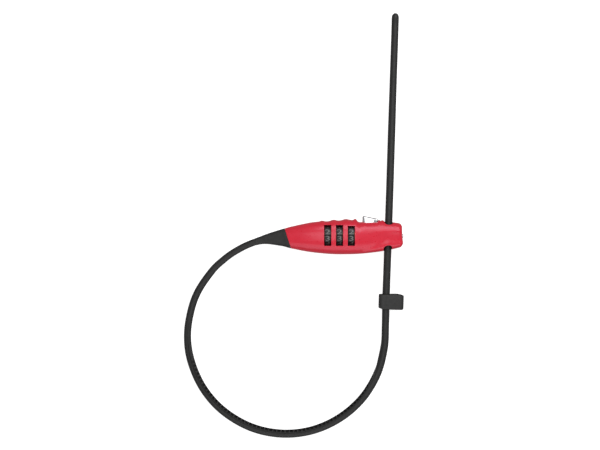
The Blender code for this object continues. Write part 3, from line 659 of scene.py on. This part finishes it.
def shell(name, ring_at, windows):
    """One half of the head: two skins, joined along the parting line, the left end and the windows."""
    sides = window_sides()
    places = stations([HEAD_LEFT, *sides, *STATION_MARKS, HEAD_RIGHT], STATION_STEP)
    outer = [ring_at(x) for x in places]
    inner_right = HEAD_RIGHT - WALL
    inner = [ring_at(min(x, inner_right), WALL) for x in places]
    outer += end_rings(outer[-1], END_DOME)
    inner += end_rings(inner[-1], 0.0)
    bm = bmesh.new()
    skins = [[[bm.verts.new(at(*p)) for p in ring] for ring in skin] for skin in (outer, inner)]
    holes = set()
    if windows:
        for k in range(0, len(sides), 2):
            first = min(range(len(places)), key=lambda i: abs(places[i] - sides[k]))
            last = min(range(len(places)), key=lambda i: abs(places[i] - sides[k + 1]))
            rows = range(EDGE_ROWS, EDGE_ROWS + FACE_ROWS)
            holes |= {(i, j) for i in range(first, last) for j in rows}
    for skin in skins:
        grid_faces(bm, skin, skip=holes)
    across, down = len(skins[0]), len(skins[0][0])
    cells = {(i, j) for i in range(across - 1) for j in range(down - 1)} - holes
    for i, j in cells:
        for a, b, beyond in (
            ((i, j), (i + 1, j), (i, j - 1)), ((i, j + 1), (i + 1, j + 1), (i, j + 1)),
            ((i, j), (i, j + 1), (i - 1, j)), ((i + 1, j), (i + 1, j + 1), (i + 1, j)),
        ):
            if beyond not in cells and beyond[0] < across - 1:
                corners = [(0, a), (0, b), (1, b), (1, a)]
                bm.faces.new([skins[skin][k][row] for skin, (k, row) in corners])
    return to_object(name, bm, RED)


def cable_at_y(y):
    """The point of the cable's straight stretch at this y, and its direction towards the tip."""
    fine = smooth_route(CABLE_ROUTE[20:], 0.5)
    k = min(range(1, len(fine) - 1), key=lambda i: abs(fine[i].y - y))
    return fine[k], (fine[k + 1] - fine[k - 1]).normalized()


MOUTH_RADIUS = 2.5
UPPER_MOUTH = (2.4, 9.6, 4.9)  # y inside, y outside, and how far it opens upwards
LOWER_MOUTH = (-2.8, -10.6, 7.3)
CABLE_HOLE_RADIUS = 2.65
WELL_GAP = 0.35
PIN_HOLE_RADIUS = 1.4
DIAL_GAP = 0.35
SCREW_SINK_RADIUS = 1.5
SCREW_SINK_DEPTH = 3.0


def cable_mouth(name, inside, outside, lift):
    """A cutter that opens the cable's hole upwards towards the outside, into an arch on the face."""
    rings = []
    for y, rise in ((inside, 0.0), (outside, lift)):
        place, _ = cable_at_y(y)
        upper = arc((place.x, place.z + rise), MOUTH_RADIUS, 0, 180, 18)
        lower = arc((place.x, place.z), MOUTH_RADIUS, 190, 350, 16)
        rings.append([(x, y, z) for x, z in upper + lower])
    return loft(name, rings, RED)


def side_cutters():
    """What goes through both shells: the cable's and reset pin's holes, the button's well, dial pockets."""
    place, direction = cable_at_y(0.0)
    reach = direction * 14
    button_low, button_high = box_mm("release_button")
    pin_low, pin_high = box_mm("code_reset_pin")
    pin_y, pin_z = (pin_low.y + pin_high.y) / 2, (pin_low.z + pin_high.z) / 2
    cutters = [
        rod("cable_hole", place - reach, place + reach, CABLE_HOLE_RADIUS),
        cable_mouth("upper_mouth", *UPPER_MOUTH),
        cable_mouth("lower_mouth", *LOWER_MOUTH),
        box("button_well", (button_low.x - WELL_GAP, button_low.y - 1.0, button_low.z - WELL_GAP),
            (button_high.x + WELL_GAP, 12.0, button_high.z + WELL_GAP)),
        rod("pin_hole", (40.0, pin_y, pin_z), (44.5, pin_y, pin_z), PIN_HOLE_RADIUS),
    ]
    half = WINDOW_WIDTH / 2
    for i, x in enumerate(DIAL_PLACES):
        ends = (x - half, 0, DIAL_AXIS_Z), (x + half, 0, DIAL_AXIS_Z)
        cutters.append(rod(f"pocket_{i + 1}", *ends, DIAL_RADIUS + DIAL_GAP))
    return cutters


def make_shells():
    front = shell("front_shell_moulding", front_ring, windows=True)
    rear = shell("rear_shell_moulding", back_ring, windows=False)
    bevel(front, FRONT_EDGE)
    bevel(rear, BACK_EDGE)
    cut(front, side_cutters())
    sinks = []
    for i in SCREWS:
        low, high = box_mm(f"case_screw_{i}")
        x, y = (low.x + high.x) / 2, (low.y + high.y) / 2
        sinks.append(rod(f"screw_sink_{i}", (x, y, -1.0), (x, y, SCREW_SINK_DEPTH), SCREW_SINK_RADIUS))
    cut(rear, side_cutters() + sinks)
    for half in (front, rear):
        half.data.shade_smooth()
        half.data.set_sharp_from_angle(angle=radians(38))
    stand_for(front, "head", "red_shell", "front_shell")
    stand_for(rear, "head", "red_shell", "rear_shell")


# ---------------------------------------------------------------- the cable and what is on it

TWIST_LINE = (
    (0, 58.0), (115, 58.0), (150, 50.0), (225, 50.0), (245, 44.0), (258, 15.0), (268, -20.0),
    (280, -48.0), (305, -58.0), (505, -58.0),
)  # distance along the cable, and how far its teeth lean up from the loop's inner side, in degrees
RAIL_TOP = 3.06
STRAIGHT_RAIL_TOP = 2.35
LOOP_SWELL = 0.12  # how much larger the core's radius is on the loop than where it leaves the boot
STRAIGHT_SWELL = 0.2
RAIL_EDGE = 20.0  # degrees from the middle of the teeth to the rail's corner
RAIL_FOOT = 30.0
POCKET_EDGE = 16.5
POCKET_DEPTH = 0.9
# Stretches along the cable over which something begins or ends
LOOP_STARTS = (35.0, 75.0)
RAIL_STARTS = (82.0, 116.0)
POCKETS_START = (108.0, 138.0)
RAIL_SINKS = (230.0, 262.0)
STRAIGHT_STARTS = (270.0, 300.0)
RAIL_ENDS = (395.0, 425.0)
STRAIGHT_ENDS = (400.0, 430.0)
# Shares of a tooth's pitch over which a pocket begins and ends
POCKET_STARTS = (0.02, 0.12)
POCKET_ENDS = (0.5, 0.62)
SECTION_STEPS = 24  # round the part of the section that has no rail
SECTION_SPREAD = 37  # degrees from the middle of the teeth to where those steps begin


def cable_section():
    """The angles of the cable's section from its toothed side: close together across the rail."""
    rail = [POCKET_EDGE, POCKET_EDGE + 1, RAIL_EDGE, RAIL_EDGE + 1.5, RAIL_EDGE + 2.5, RAIL_EDGE + 5]
    half = [*rail, RAIL_FOOT, SECTION_SPREAD]
    near = [-a for a in reversed(half)] + [-7, 0, 7] + half
    rest = 360 - 2 * SECTION_SPREAD
    far = [SECTION_SPREAD + rest * i / SECTION_STEPS for i in range(1, SECTION_STEPS)]
    return near + far


def rail_share(run):
    """0 on the smooth stretches by the boot and the tip, 1 where the teeth are at full height."""
    return smooth_step(run, *RAIL_STARTS) * (1 - smooth_step(run, *RAIL_ENDS))


def rail_sink(run):
    """How much lower the rail is than on the loop."""
    return (RAIL_TOP - STRAIGHT_RAIL_TOP) * smooth_step(run, *RAIL_SINKS)


def tooth_depth(run, angle):
    """How deep the pocket is at a distance along the cable and an angle from its toothed side."""
    place = (run / TOOTH_PITCH) % 1.0
    long_wall = smooth_step(place, *POCKET_STARTS) * (1 - smooth_step(place, *POCKET_ENDS))
    side_wall = 1 - smooth_step(abs(angle), POCKET_EDGE, POCKET_EDGE + 1)
    share = rail_share(run) * smooth_step(run, *POCKETS_START)
    return (POCKET_DEPTH - rail_sink(run)) * long_wall * side_wall * share


def cable_radius(run, angle):
    """The section: a round core with a square-shouldered toothed rail along one side."""
    turn = abs(angle)
    straight = smooth_step(run, *STRAIGHT_STARTS) - smooth_step(run, *STRAIGHT_ENDS)
    core = CABLE_RADIUS + LOOP_SWELL * smooth_step(run, *LOOP_STARTS)
    core += (STRAIGHT_SWELL - LOOP_SWELL) * straight
    flat = (RAIL_TOP - rail_sink(run)) / cos(radians(min(turn, RAIL_EDGE))) - core
    rail = flat * (1 - smooth_step(turn, RAIL_EDGE, RAIL_FOOT)) * rail_share(run)
    return core + rail - tooth_depth(run, angle)


def make_cable():
    """The cable's jacket, with its teeth, and the points of its middle line."""
    points = smooth_route(CABLE_ROUTE, TOOTH_PITCH / 10)
    angles = cable_section()
    bm = bmesh.new()
    rings = []
    pocket_shade_verts = set()
    run = 0.0
    for i, place in enumerate(points):
        before, after = points[max(i - 1, 0)], points[min(i + 1, len(points) - 1)]
        run += (place - before).length
        direction = (after - before).normalized()
        up = (Vector((0, 0, 1)) - direction * direction.z).normalized()
        inward = up.cross(direction)
        lean = along(TWIST_LINE, run)
        ring = []
        for angle in angles:
            turn = radians(angle + lean)
            from_teeth = angle if angle < 180 else angle - 360
            r = cable_radius(run, from_teeth)
            ring.append(bm.verts.new((place + r * (cos(turn) * inward + sin(turn) * up)) * MM))
            if tooth_depth(run, from_teeth) > POCKET_DEPTH / 10:
                pocket_shade_verts.add(ring[-1])
        rings.append(ring)
    grid_faces(bm, rings, closed=True)
    bm.faces.new(list(reversed(rings[0])))
    bm.faces.new(rings[-1])
    # Faces that touch a pocket take the darker pocket material, which is painted shade in the tooth pockets.
    for face in bm.faces:
        face.material_index = int(any(vert in pocket_shade_verts for vert in face.verts))
    cable = to_object("toothed_cable", bm, NYLON, smooth=40)
    cable.data.materials.append(POCKET_SHADE_NYLON)
    stand_for(cable, "head", "cable_black", "cable")
    return cable, points


def turned_to(direction, place):
    """A matrix that takes +Y to a direction, keeps X level, and moves the origin to place (mm)."""
    y_axis = Vector(direction).normalized()
    x_axis = y_axis.cross(Vector((0, 0, 1))).normalized()
    z_axis = x_axis.cross(y_axis)
    turn = Matrix((x_axis, y_axis, z_axis)).transposed().to_4x4()
    return Matrix.Translation(at(*place)) @ turn


def make_tip(points):
    """The cap on the cable's free end: a short sleeve with a long round nose."""
    end = points[-1]
    direction = (end - points[-2]).normalized()
    radius = CABLE_RADIUS + LOOP_SWELL
    profile = [(0, 0.02), (radius - 0.02, 0.02), (radius, 0.05)]
    for i in range(17):
        turn = pi / 2 * i / 16
        rise = NOSE_LENGTH * sin(turn) ** NOSE_POWER
        profile.append((radius * cos(turn) ** NOSE_POWER, TIP_LENGTH - NOSE_LENGTH + rise))
    matrix = turned_to(direction, end) @ Matrix.Rotation(-pi / 2, 4, "X")
    tip = revolve("cable_end_cap", profile, matrix, NYLON)
    return stand_for(tip, "head", "cable_black", "cable_tip")


def divided(outline, step):
    """An outline with more points on its long sides, so that none is longer than step."""
    result = []
    for (x0, y0), (x1, y1) in zip(outline, [*outline[1:], outline[0]]):
        count = max(1, round(sqrt((x1 - x0) ** 2 + (y1 - y0) ** 2) / step))
        result += [(x0 + (x1 - x0) * i / count, y0 + (y1 - y0) * i / count) for i in range(count)]
    return result


KEEPER_INSET = 0.15
KEEPER_HALF_HEIGHT = 3.3
KEEPER_REACH = 4.2  # half its length along the cable
KEEPER_CORNER = 2.2
KEEPER_BORE = 2.68
KEEPER_EDGE = 0.55
LOOP_HALF_HEIGHT = 2.5
LOOP_LEFT = 7.45  # from the band's left side
LOOP_RIGHT = 1.1  # from its right side


def keeper_stretch(across, width, upper):
    """How far the end of the band bows out along the cable, at a distance from its left side."""
    stretch = -smooth_step(across, width - 1.3, width)
    if upper:
        bow = 0.35 * smooth_step(across, 5.0, 9.0) - 0.55 * smooth_step(across, 10.5, width)
        return bow + 0.2 * stretch
    bow = 0.3 * smooth_step(across, 3.0, 8.0) - 0.5 * (1 - smooth_step(across, 0.0, 2.2))
    return bow + 0.35 * stretch


def make_keeper():
    """A rubber band on the cable, with an empty loop for the tail beside it."""
    low, high = box_mm("cable_keeper")
    middle_y = (low.y + high.y) / 2
    place, direction = cable_at_y(middle_y)
    left, right = low.x - place.x + KEEPER_INSET, high.x - place.x - KEEPER_INSET
    matrix = turned_to(direction, place) @ Matrix(((1, 0, 0, 0), (0, 0, -1, 0), (0, 1, 0, 0), (0, 0, 0, 1)))
    band = rounded_box(left, right, -KEEPER_HALF_HEIGHT, KEEPER_HALF_HEIGHT, KEEPER_CORNER, 8)
    opening = rounded_box(left + LOOP_LEFT, right - LOOP_RIGHT, -LOOP_HALF_HEIGHT, LOOP_HALF_HEIGHT, 0.9, 5)
    through = 2 * KEEPER_REACH
    body = prism("cable_keeper_band", divided(band, 0.9), -KEEPER_REACH, KEEPER_REACH, matrix, RUBBER)
    hole = prism("keeper_hole", arc((0, 0), KEEPER_BORE, 0, 350, 35), -through, through, matrix, RUBBER)
    loop = prism("keeper_loop", opening, -through, through, matrix, RUBBER)
    cut(body, [hole, loop])
    bevel(body, KEEPER_EDGE, 4, 60)
    for v in body.data.vertices:
        offset = v.co / MM - place
        run = offset.dot(direction)
        stretch = keeper_stretch(offset.x - left, right - left, run >= 0)
        v.co += direction * (stretch * run / KEEPER_REACH * MM)
    return stand_for(body, "keeper", "black_rubber", "cable_keeper")


BOOT_LINE = (
    (-43.4, -3.85, 2.2), (-41.8, -3.4, 2.26), (-40.1, -2.97, 2.43), (-38.3, -2.55, 2.73),
    (-36.5, -2.33, 3.05), (-34.8, -2.17, 3.43), (-33.0, -2.05, 3.82), (-31.3, -1.97, 4.21),
    (-29.5, -1.89, 4.59), (-27.7, -1.88, 5.02), (-26.0, -1.94, 5.56), (-24.65, -1.975, 5.875),
)  # the boot's middle and half width along X
BOOT_MIDDLE_Z = 5.8  # at the head
BOOT_BORE = 2.03
PLUG_LENGTH = 3.0
PLUG_INSET = 2.0


def make_boot():
    """A hollow rubber taper from the head's outline to the cable, with a plug inside the head."""
    joint, tip = HEAD_LEFT - 0.06, BOOT_LINE[0][0]
    centres = smooth_route(CABLE_ROUTE[:7], 0.3)
    head = front_ring(HEAD_LEFT) + back_ring(HEAD_LEFT)[-2:0:-1]
    head_y, head_half = outline_at(HEAD_LEFT)
    head_z = BOOT_MIDDLE_Z

    def cable_z(x):
        return min(centres, key=lambda p: abs(p.x - x)).z

    def ring_at(x, shrink=0.0):
        share = smooth_step(x, tip - 4.0, joint)
        middle = along([(px, y) for px, y, _ in BOOT_LINE], x)
        half = along([(px, h) for px, _, h in BOOT_LINE], x) - shrink
        low = cable_z(x) + (head_z - cable_z(x)) * share
        tall = half * (1 + (head_z / head_half - 1) * share)
        ring = []
        for hx, hy, hz in head:
            ey, ez = (hy - head_y) / head_half, (hz - head_z) / head_z
            size = sqrt(ey * ey + ez * ez)
            round_share = (1 - share) / size + share
            y = middle + half * ey * round_share
            z = low + tall * ez * round_share
            ring.append((x + JOINT_SLANT * share * (y - head_y), y, max(z, 0.0)))
        return ring

    rings = [ring_at(tip + (joint - tip) * i / 48) for i in range(49)]
    rings += [ring_at(x, PLUG_INSET) for x in (joint, joint + PLUG_LENGTH)]
    for x in (joint + PLUG_LENGTH, -28.0, -33.0, -38.0, tip):
        centre = min(centres, key=lambda p: abs(p.x - x))
        bore = []
        for hx, hy, hz in head:
            angle = atan2(hz - head_z, hy - head_y)
            bore.append((x, centre.y + BOOT_BORE * cos(angle), centre.z + BOOT_BORE * sin(angle)))
        rings.append(bore)
    boot = loft("strain_relief_sleeve", rings, RUBBER, closed=True)
    return stand_for(boot, "head", "black_rubber", "strain_relief_boot")


# ---------------------------------------------------------------- the dials

YZ_PLANE = Matrix(((0, 0, 1, 0), (1, 0, 0, 0), (0, 1, 0, 0), (0, 0, 0, 1)))
DIGIT_HEIGHT = 2.9
DIGIT_WIDTH = 3.1
DIGIT_HALF_THICKNESS = 0.03
FIRST_DIGIT = 2  # the digit on the upper side of the index line
LAND_HALF = 14.0  # degrees
NOTCH = ((15.6, 0.16), (17.0, 0.33), (18.0, 0.36), (19.0, 0.33), (20.4, 0.16))  # degrees and depth


def wheel_outline():
    """A wheel's rim: ten broad lands with a finger notch between each two."""
    outline = []
    for digit in range(DIGITS):
        middle = 360 / DIGITS * digit
        outline += arc((0, 0), DIAL_RADIUS, middle - LAND_HALF, middle + LAND_HALF, 6)
        for angle, depth in NOTCH:
            turn = radians(middle + angle)
            outline.append(((DIAL_RADIUS - depth) * cos(turn), (DIAL_RADIUS - depth) * sin(turn)))
    return outline


def digit_mesh(digit):
    """One digit as a thin plate, centred on the origin, in mm."""
    curve = bpy.data.curves.new(f"digit_{digit}", "FONT")
    curve.body = str(digit)
    curve.align_x = "CENTER"
    curve.align_y = "CENTER"
    curve.extrude = DIGIT_HALF_THICKNESS
    curve.resolution_u = 4
    thing = bpy.data.objects.new(f"digit_{digit}", curve)
    bpy.context.scene.collection.objects.link(thing)
    bpy.context.view_layer.update()
    mesh = bpy.data.meshes.new_from_object(thing.evaluated_get(bpy.context.evaluated_depsgraph_get()))
    bpy.data.objects.remove(thing)
    xs = [v.co.x for v in mesh.vertices]
    ys = [v.co.y for v in mesh.vertices]
    wide, high = max(xs) - min(xs), max(ys) - min(ys)
    middle = Vector(((max(xs) + min(xs)) / 2, (max(ys) + min(ys)) / 2, 0))
    squeeze = min(DIGIT_WIDTH / wide, DIGIT_HEIGHT / high * 1.6)
    for v in mesh.vertices:
        v.co = v.co - middle
        v.co.x *= squeeze
        v.co.y *= DIGIT_HEIGHT / high
    return mesh


def make_dials():
    shapes = [digit_mesh(digit) for digit in range(DIGITS)]
    for number, x in zip(DIALS, DIAL_PLACES):
        matrix = Matrix.Translation(at(x, 0, DIAL_AXIS_Z)) @ YZ_PLANE
        half = DIAL_WIDTH / 2
        wheel = prism(f"dial_wheel_body_{number}", wheel_outline(), -half, half, matrix, DIAL_BLACK)
        bore = prism("bore", arc((0, 0), WHEEL_BORE, 0, 350, 35), -half - 1, half + 1, matrix, DIAL_BLACK)
        cut(wheel, [bore])
        bevel(wheel, 0.15, 2, 60)
        stand_for(wheel, f"dial_{number}", "black_dial", f"dial_wheel_{number}")
        bm = bmesh.new()
        for step in range(DIGITS):
            land = 2 - step  # land 2 is just above the index line, and land 3 just below it
            turn = radians(36 * land)
            digit = (FIRST_DIGIT - step) % DIGITS
            first = len(bm.verts)
            bm.from_mesh(shapes[digit])
            bm.verts.ensure_lookup_table()
            for v in bm.verts[first:]:
                angle = turn - v.co.y / DIAL_RADIUS
                r = DIAL_RADIUS + 0.02 + v.co.z
                v.co = at(x + v.co.x, r * cos(angle), DIAL_AXIS_Z + r * sin(angle))
        digits = to_object(f"dial_digits_{number}", bm, DIGIT_GREY)
        stand_for(digits, f"dial_{number}", "black_dial")


# ---------------------------------------------------------------- the metal pieces outside


BUTTON_DROP = 2.2  # how much lower its crown is beside the cable
BUTTON_LEFT_ROUND = 0.7
BUTTON_RIGHT_ROUND = 0.6


def make_button():
    """The plated release button: a slab whose crown slopes to the cable, with wide chamfers on its face."""
    low, high = box_mm("release_button")
    depth = (high.z - low.z) / 2
    left, right, base, crown = low.x, high.x, low.y, high.y

    def outline_in(side, top, level):
        """The slab's outline drawn in by side at its left and right, and by top at its crown."""
        points = [(left + side, base), (right - top, base)]
        right_centre = (right - top - BUTTON_RIGHT_ROUND, crown - BUTTON_DROP - top)
        points += arc(right_centre, BUTTON_RIGHT_ROUND, 0, 74, 5)
        left_centre = (left + side + BUTTON_LEFT_ROUND, crown - BUTTON_LEFT_ROUND - top)
        points += arc(left_centre, BUTTON_LEFT_ROUND, 80, 180, 7)
        return [(x, y, level) for x, y in points]

    middle = (low.z + high.z) / 2
    rings = [outline_in(0.25, 0.25, middle - depth), outline_in(0, 0, middle - depth + 0.3)]
    rings += [outline_in(0, 0, middle + depth - 0.6), outline_in(0.03, 0.02, middle + depth - 0.52)]
    rings += [outline_in(0.68, 0.6, middle + depth - 0.04), outline_in(0.78, 0.68, middle + depth)]
    button = loft("release_button_cap", rings, CHROME, smooth=30)
    return stand_for(button, "button", "chrome", "release_button")


PIN_ROUND = 0.3
PIN_DIMPLE_RADIUS = 0.42
PIN_DIMPLE_DEPTH = 0.2


def make_reset_pin():
    """The reset pin: a round rod with a rounded end and a dimple for a pen's tip."""
    low, high = box_mm("code_reset_pin")
    radius = (high.y - low.y) / 2
    face = high.x - low.x - 0.05
    place = Matrix.Translation(at(low.x, (low.y + high.y) / 2, (low.z + high.z) / 2))
    matrix = place @ Matrix.Rotation(pi / 2, 4, "Y")
    profile = [(0, 0), (radius, 0), (radius, face - PIN_ROUND)]
    for angle in (20, 45, 70, 90):
        turn = radians(angle)
        profile.append((radius + PIN_ROUND * (cos(turn) - 1), face + PIN_ROUND * (sin(turn) - 1)))
    floor = face - PIN_DIMPLE_DEPTH
    profile += [(PIN_DIMPLE_RADIUS, face), (PIN_DIMPLE_RADIUS - 0.12, floor), (0, floor)]
    pin = revolve("code_reset_button", profile, matrix, STEEL, 36)
    return stand_for(pin, "reset", "steel", "code_reset_pin")


SCREW_TIP_Z = 9.2
SCREW_SHANK = 0.6
SCREW_RIM_Z = 0.75
SCREW_DOME = 0.55
RECESS_HALF_LENGTH = 0.75
RECESS_HALF_WIDTH = 0.14
RECESS_FLOOR_Z = 0.72


def make_screws():
    """Four screws with domed cross-recess heads, let into the back."""
    for i in SCREWS:
        low, high = box_mm(f"case_screw_{i}")
        x, y = (low.x + high.x) / 2, (low.y + high.y) / 2
        head = (high.x - low.x) / 2
        profile = [(0, SCREW_TIP_Z), (0.45, SCREW_TIP_Z), (SCREW_SHANK, SCREW_TIP_Z - 0.6)]
        profile += [(SCREW_SHANK, SCREW_RIM_Z + 0.5), (head, SCREW_RIM_Z + 0.45), (head, SCREW_RIM_Z)]
        for angle in (20, 40, 60, 75):
            turn = radians(angle)
            profile.append((head * cos(turn), SCREW_RIM_Z - SCREW_DOME * sin(turn)))
        profile.append((0, SCREW_RIM_Z - SCREW_DOME))
        screw = revolve(f"cross_head_screw_{i}", profile, Matrix.Translation(at(x, y, 0)), SCREW_STEEL, 36)
        bars = []
        for k, (wide, deep) in enumerate(
            ((RECESS_HALF_LENGTH, RECESS_HALF_WIDTH), (RECESS_HALF_WIDTH, RECESS_HALF_LENGTH))
        ):
            bars.append(box(f"bar_{k}", (x - wide, y - deep, -0.2), (x + wide, y + deep, RECESS_FLOOR_Z)))
        cut(screw, bars)
        stand_for(screw, "head", "screw_steel", f"case_screw_{i}")


def finish_inner_nodes():
    """The CAD nodes that stay inside the head get the material of their slot."""
    for part in frame["record"]["subparts"]:
        node = NODES[part["node"]]
        if not node.hide_render:
            node.data.materials.clear()
            node.data.materials.append(SLOT_MATERIALS[part["material_slot"]])


# ---------------------------------------------------------------- camera, light and floor


def add_camera():
    """Straight above the face, with a long lens."""
    data = bpy.data.cameras.new("camera")
    data.lens = LENS
    data.sensor_width = SENSOR
    made = bpy.data.objects.new("camera", data)
    bpy.context.scene.collection.objects.link(made)
    distance = VIEW_WIDTH * LENS / SENSOR
    made.location = at(*VIEW_CENTRE) + Vector((0, 0, distance * MM))
    data.clip_start = 0.05
    data.clip_end = 20
    bpy.context.scene.camera = made


def add_softbox(name, place, size, power):
    """A rectangular light at a place in metres, turned to the origin. Its power is in watts."""
    data = bpy.data.lights.new(name, "AREA")
    data.shape = "RECTANGLE"
    data.size, data.size_y = size
    data.energy = power
    made = bpy.data.objects.new(name, data)
    bpy.context.scene.collection.objects.link(made)
    made.location = place
    made.rotation_euler = (-Vector(place)).to_track_quat("-Z", "Y").to_euler()


def add_studio():
    """A wide light overhead, a bright one on the release button's side, a fill opposite, a white floor."""
    world = bpy.data.worlds.new("studio")
    world.use_nodes = True
    world.node_tree.nodes["Background"].inputs["Color"].default_value = (1, 1, 1, 1)
    world.node_tree.nodes["Background"].inputs["Strength"].default_value = 0.3
    bpy.context.scene.world = world
    add_softbox("overhead", (-0.06, 0.25, 2.0), (1.1, 0.9), 6.0)
    add_softbox("key", (0.45, 0.85, 1.1), (1.6, 0.8), 11.5)
    add_softbox("fill", (0.1, -1.1, 0.85), (1.8, 1.2), 7.8)
    bm = bmesh.new()
    bmesh.ops.create_grid(bm, x_segments=1, y_segments=1, size=3.0)
    bmesh.ops.translate(bm, vec=(0, 0, -0.0001), verts=bm.verts)
    paper, tree, shader = new_material("white_paper", (0.8, 0.8, 0.8), 0.9)
    vary_colour(tree, shader, noise(tree, 12, 2), (0.79, 0.79, 0.79), (0.81, 0.81, 0.81))
    shader.inputs["Emission Color"].default_value = (1, 1, 1, 1)
    shader.inputs["Emission Strength"].default_value = 0.75
    floor = to_object("floor", bm, paper)
    floor.visible_diffuse = False
    floor.visible_glossy = False
    bpy.context.scene.view_settings.view_transform = "Standard"


# ---------------------------------------------------------------- the lock


def make_cord():
    cable, points = make_cable()
    tip = make_tip(points)
    keeper = make_keeper()
    length = sum((b - a).length for a, b in zip(points, points[1:])) * MM
    [p * MM for p in points[::8]]


add_camera()
add_studio()
make_cord()
make_shells()
make_boot()
make_dials()
make_button()
make_reset_pin()
make_screws()
finish_inner_nodes()
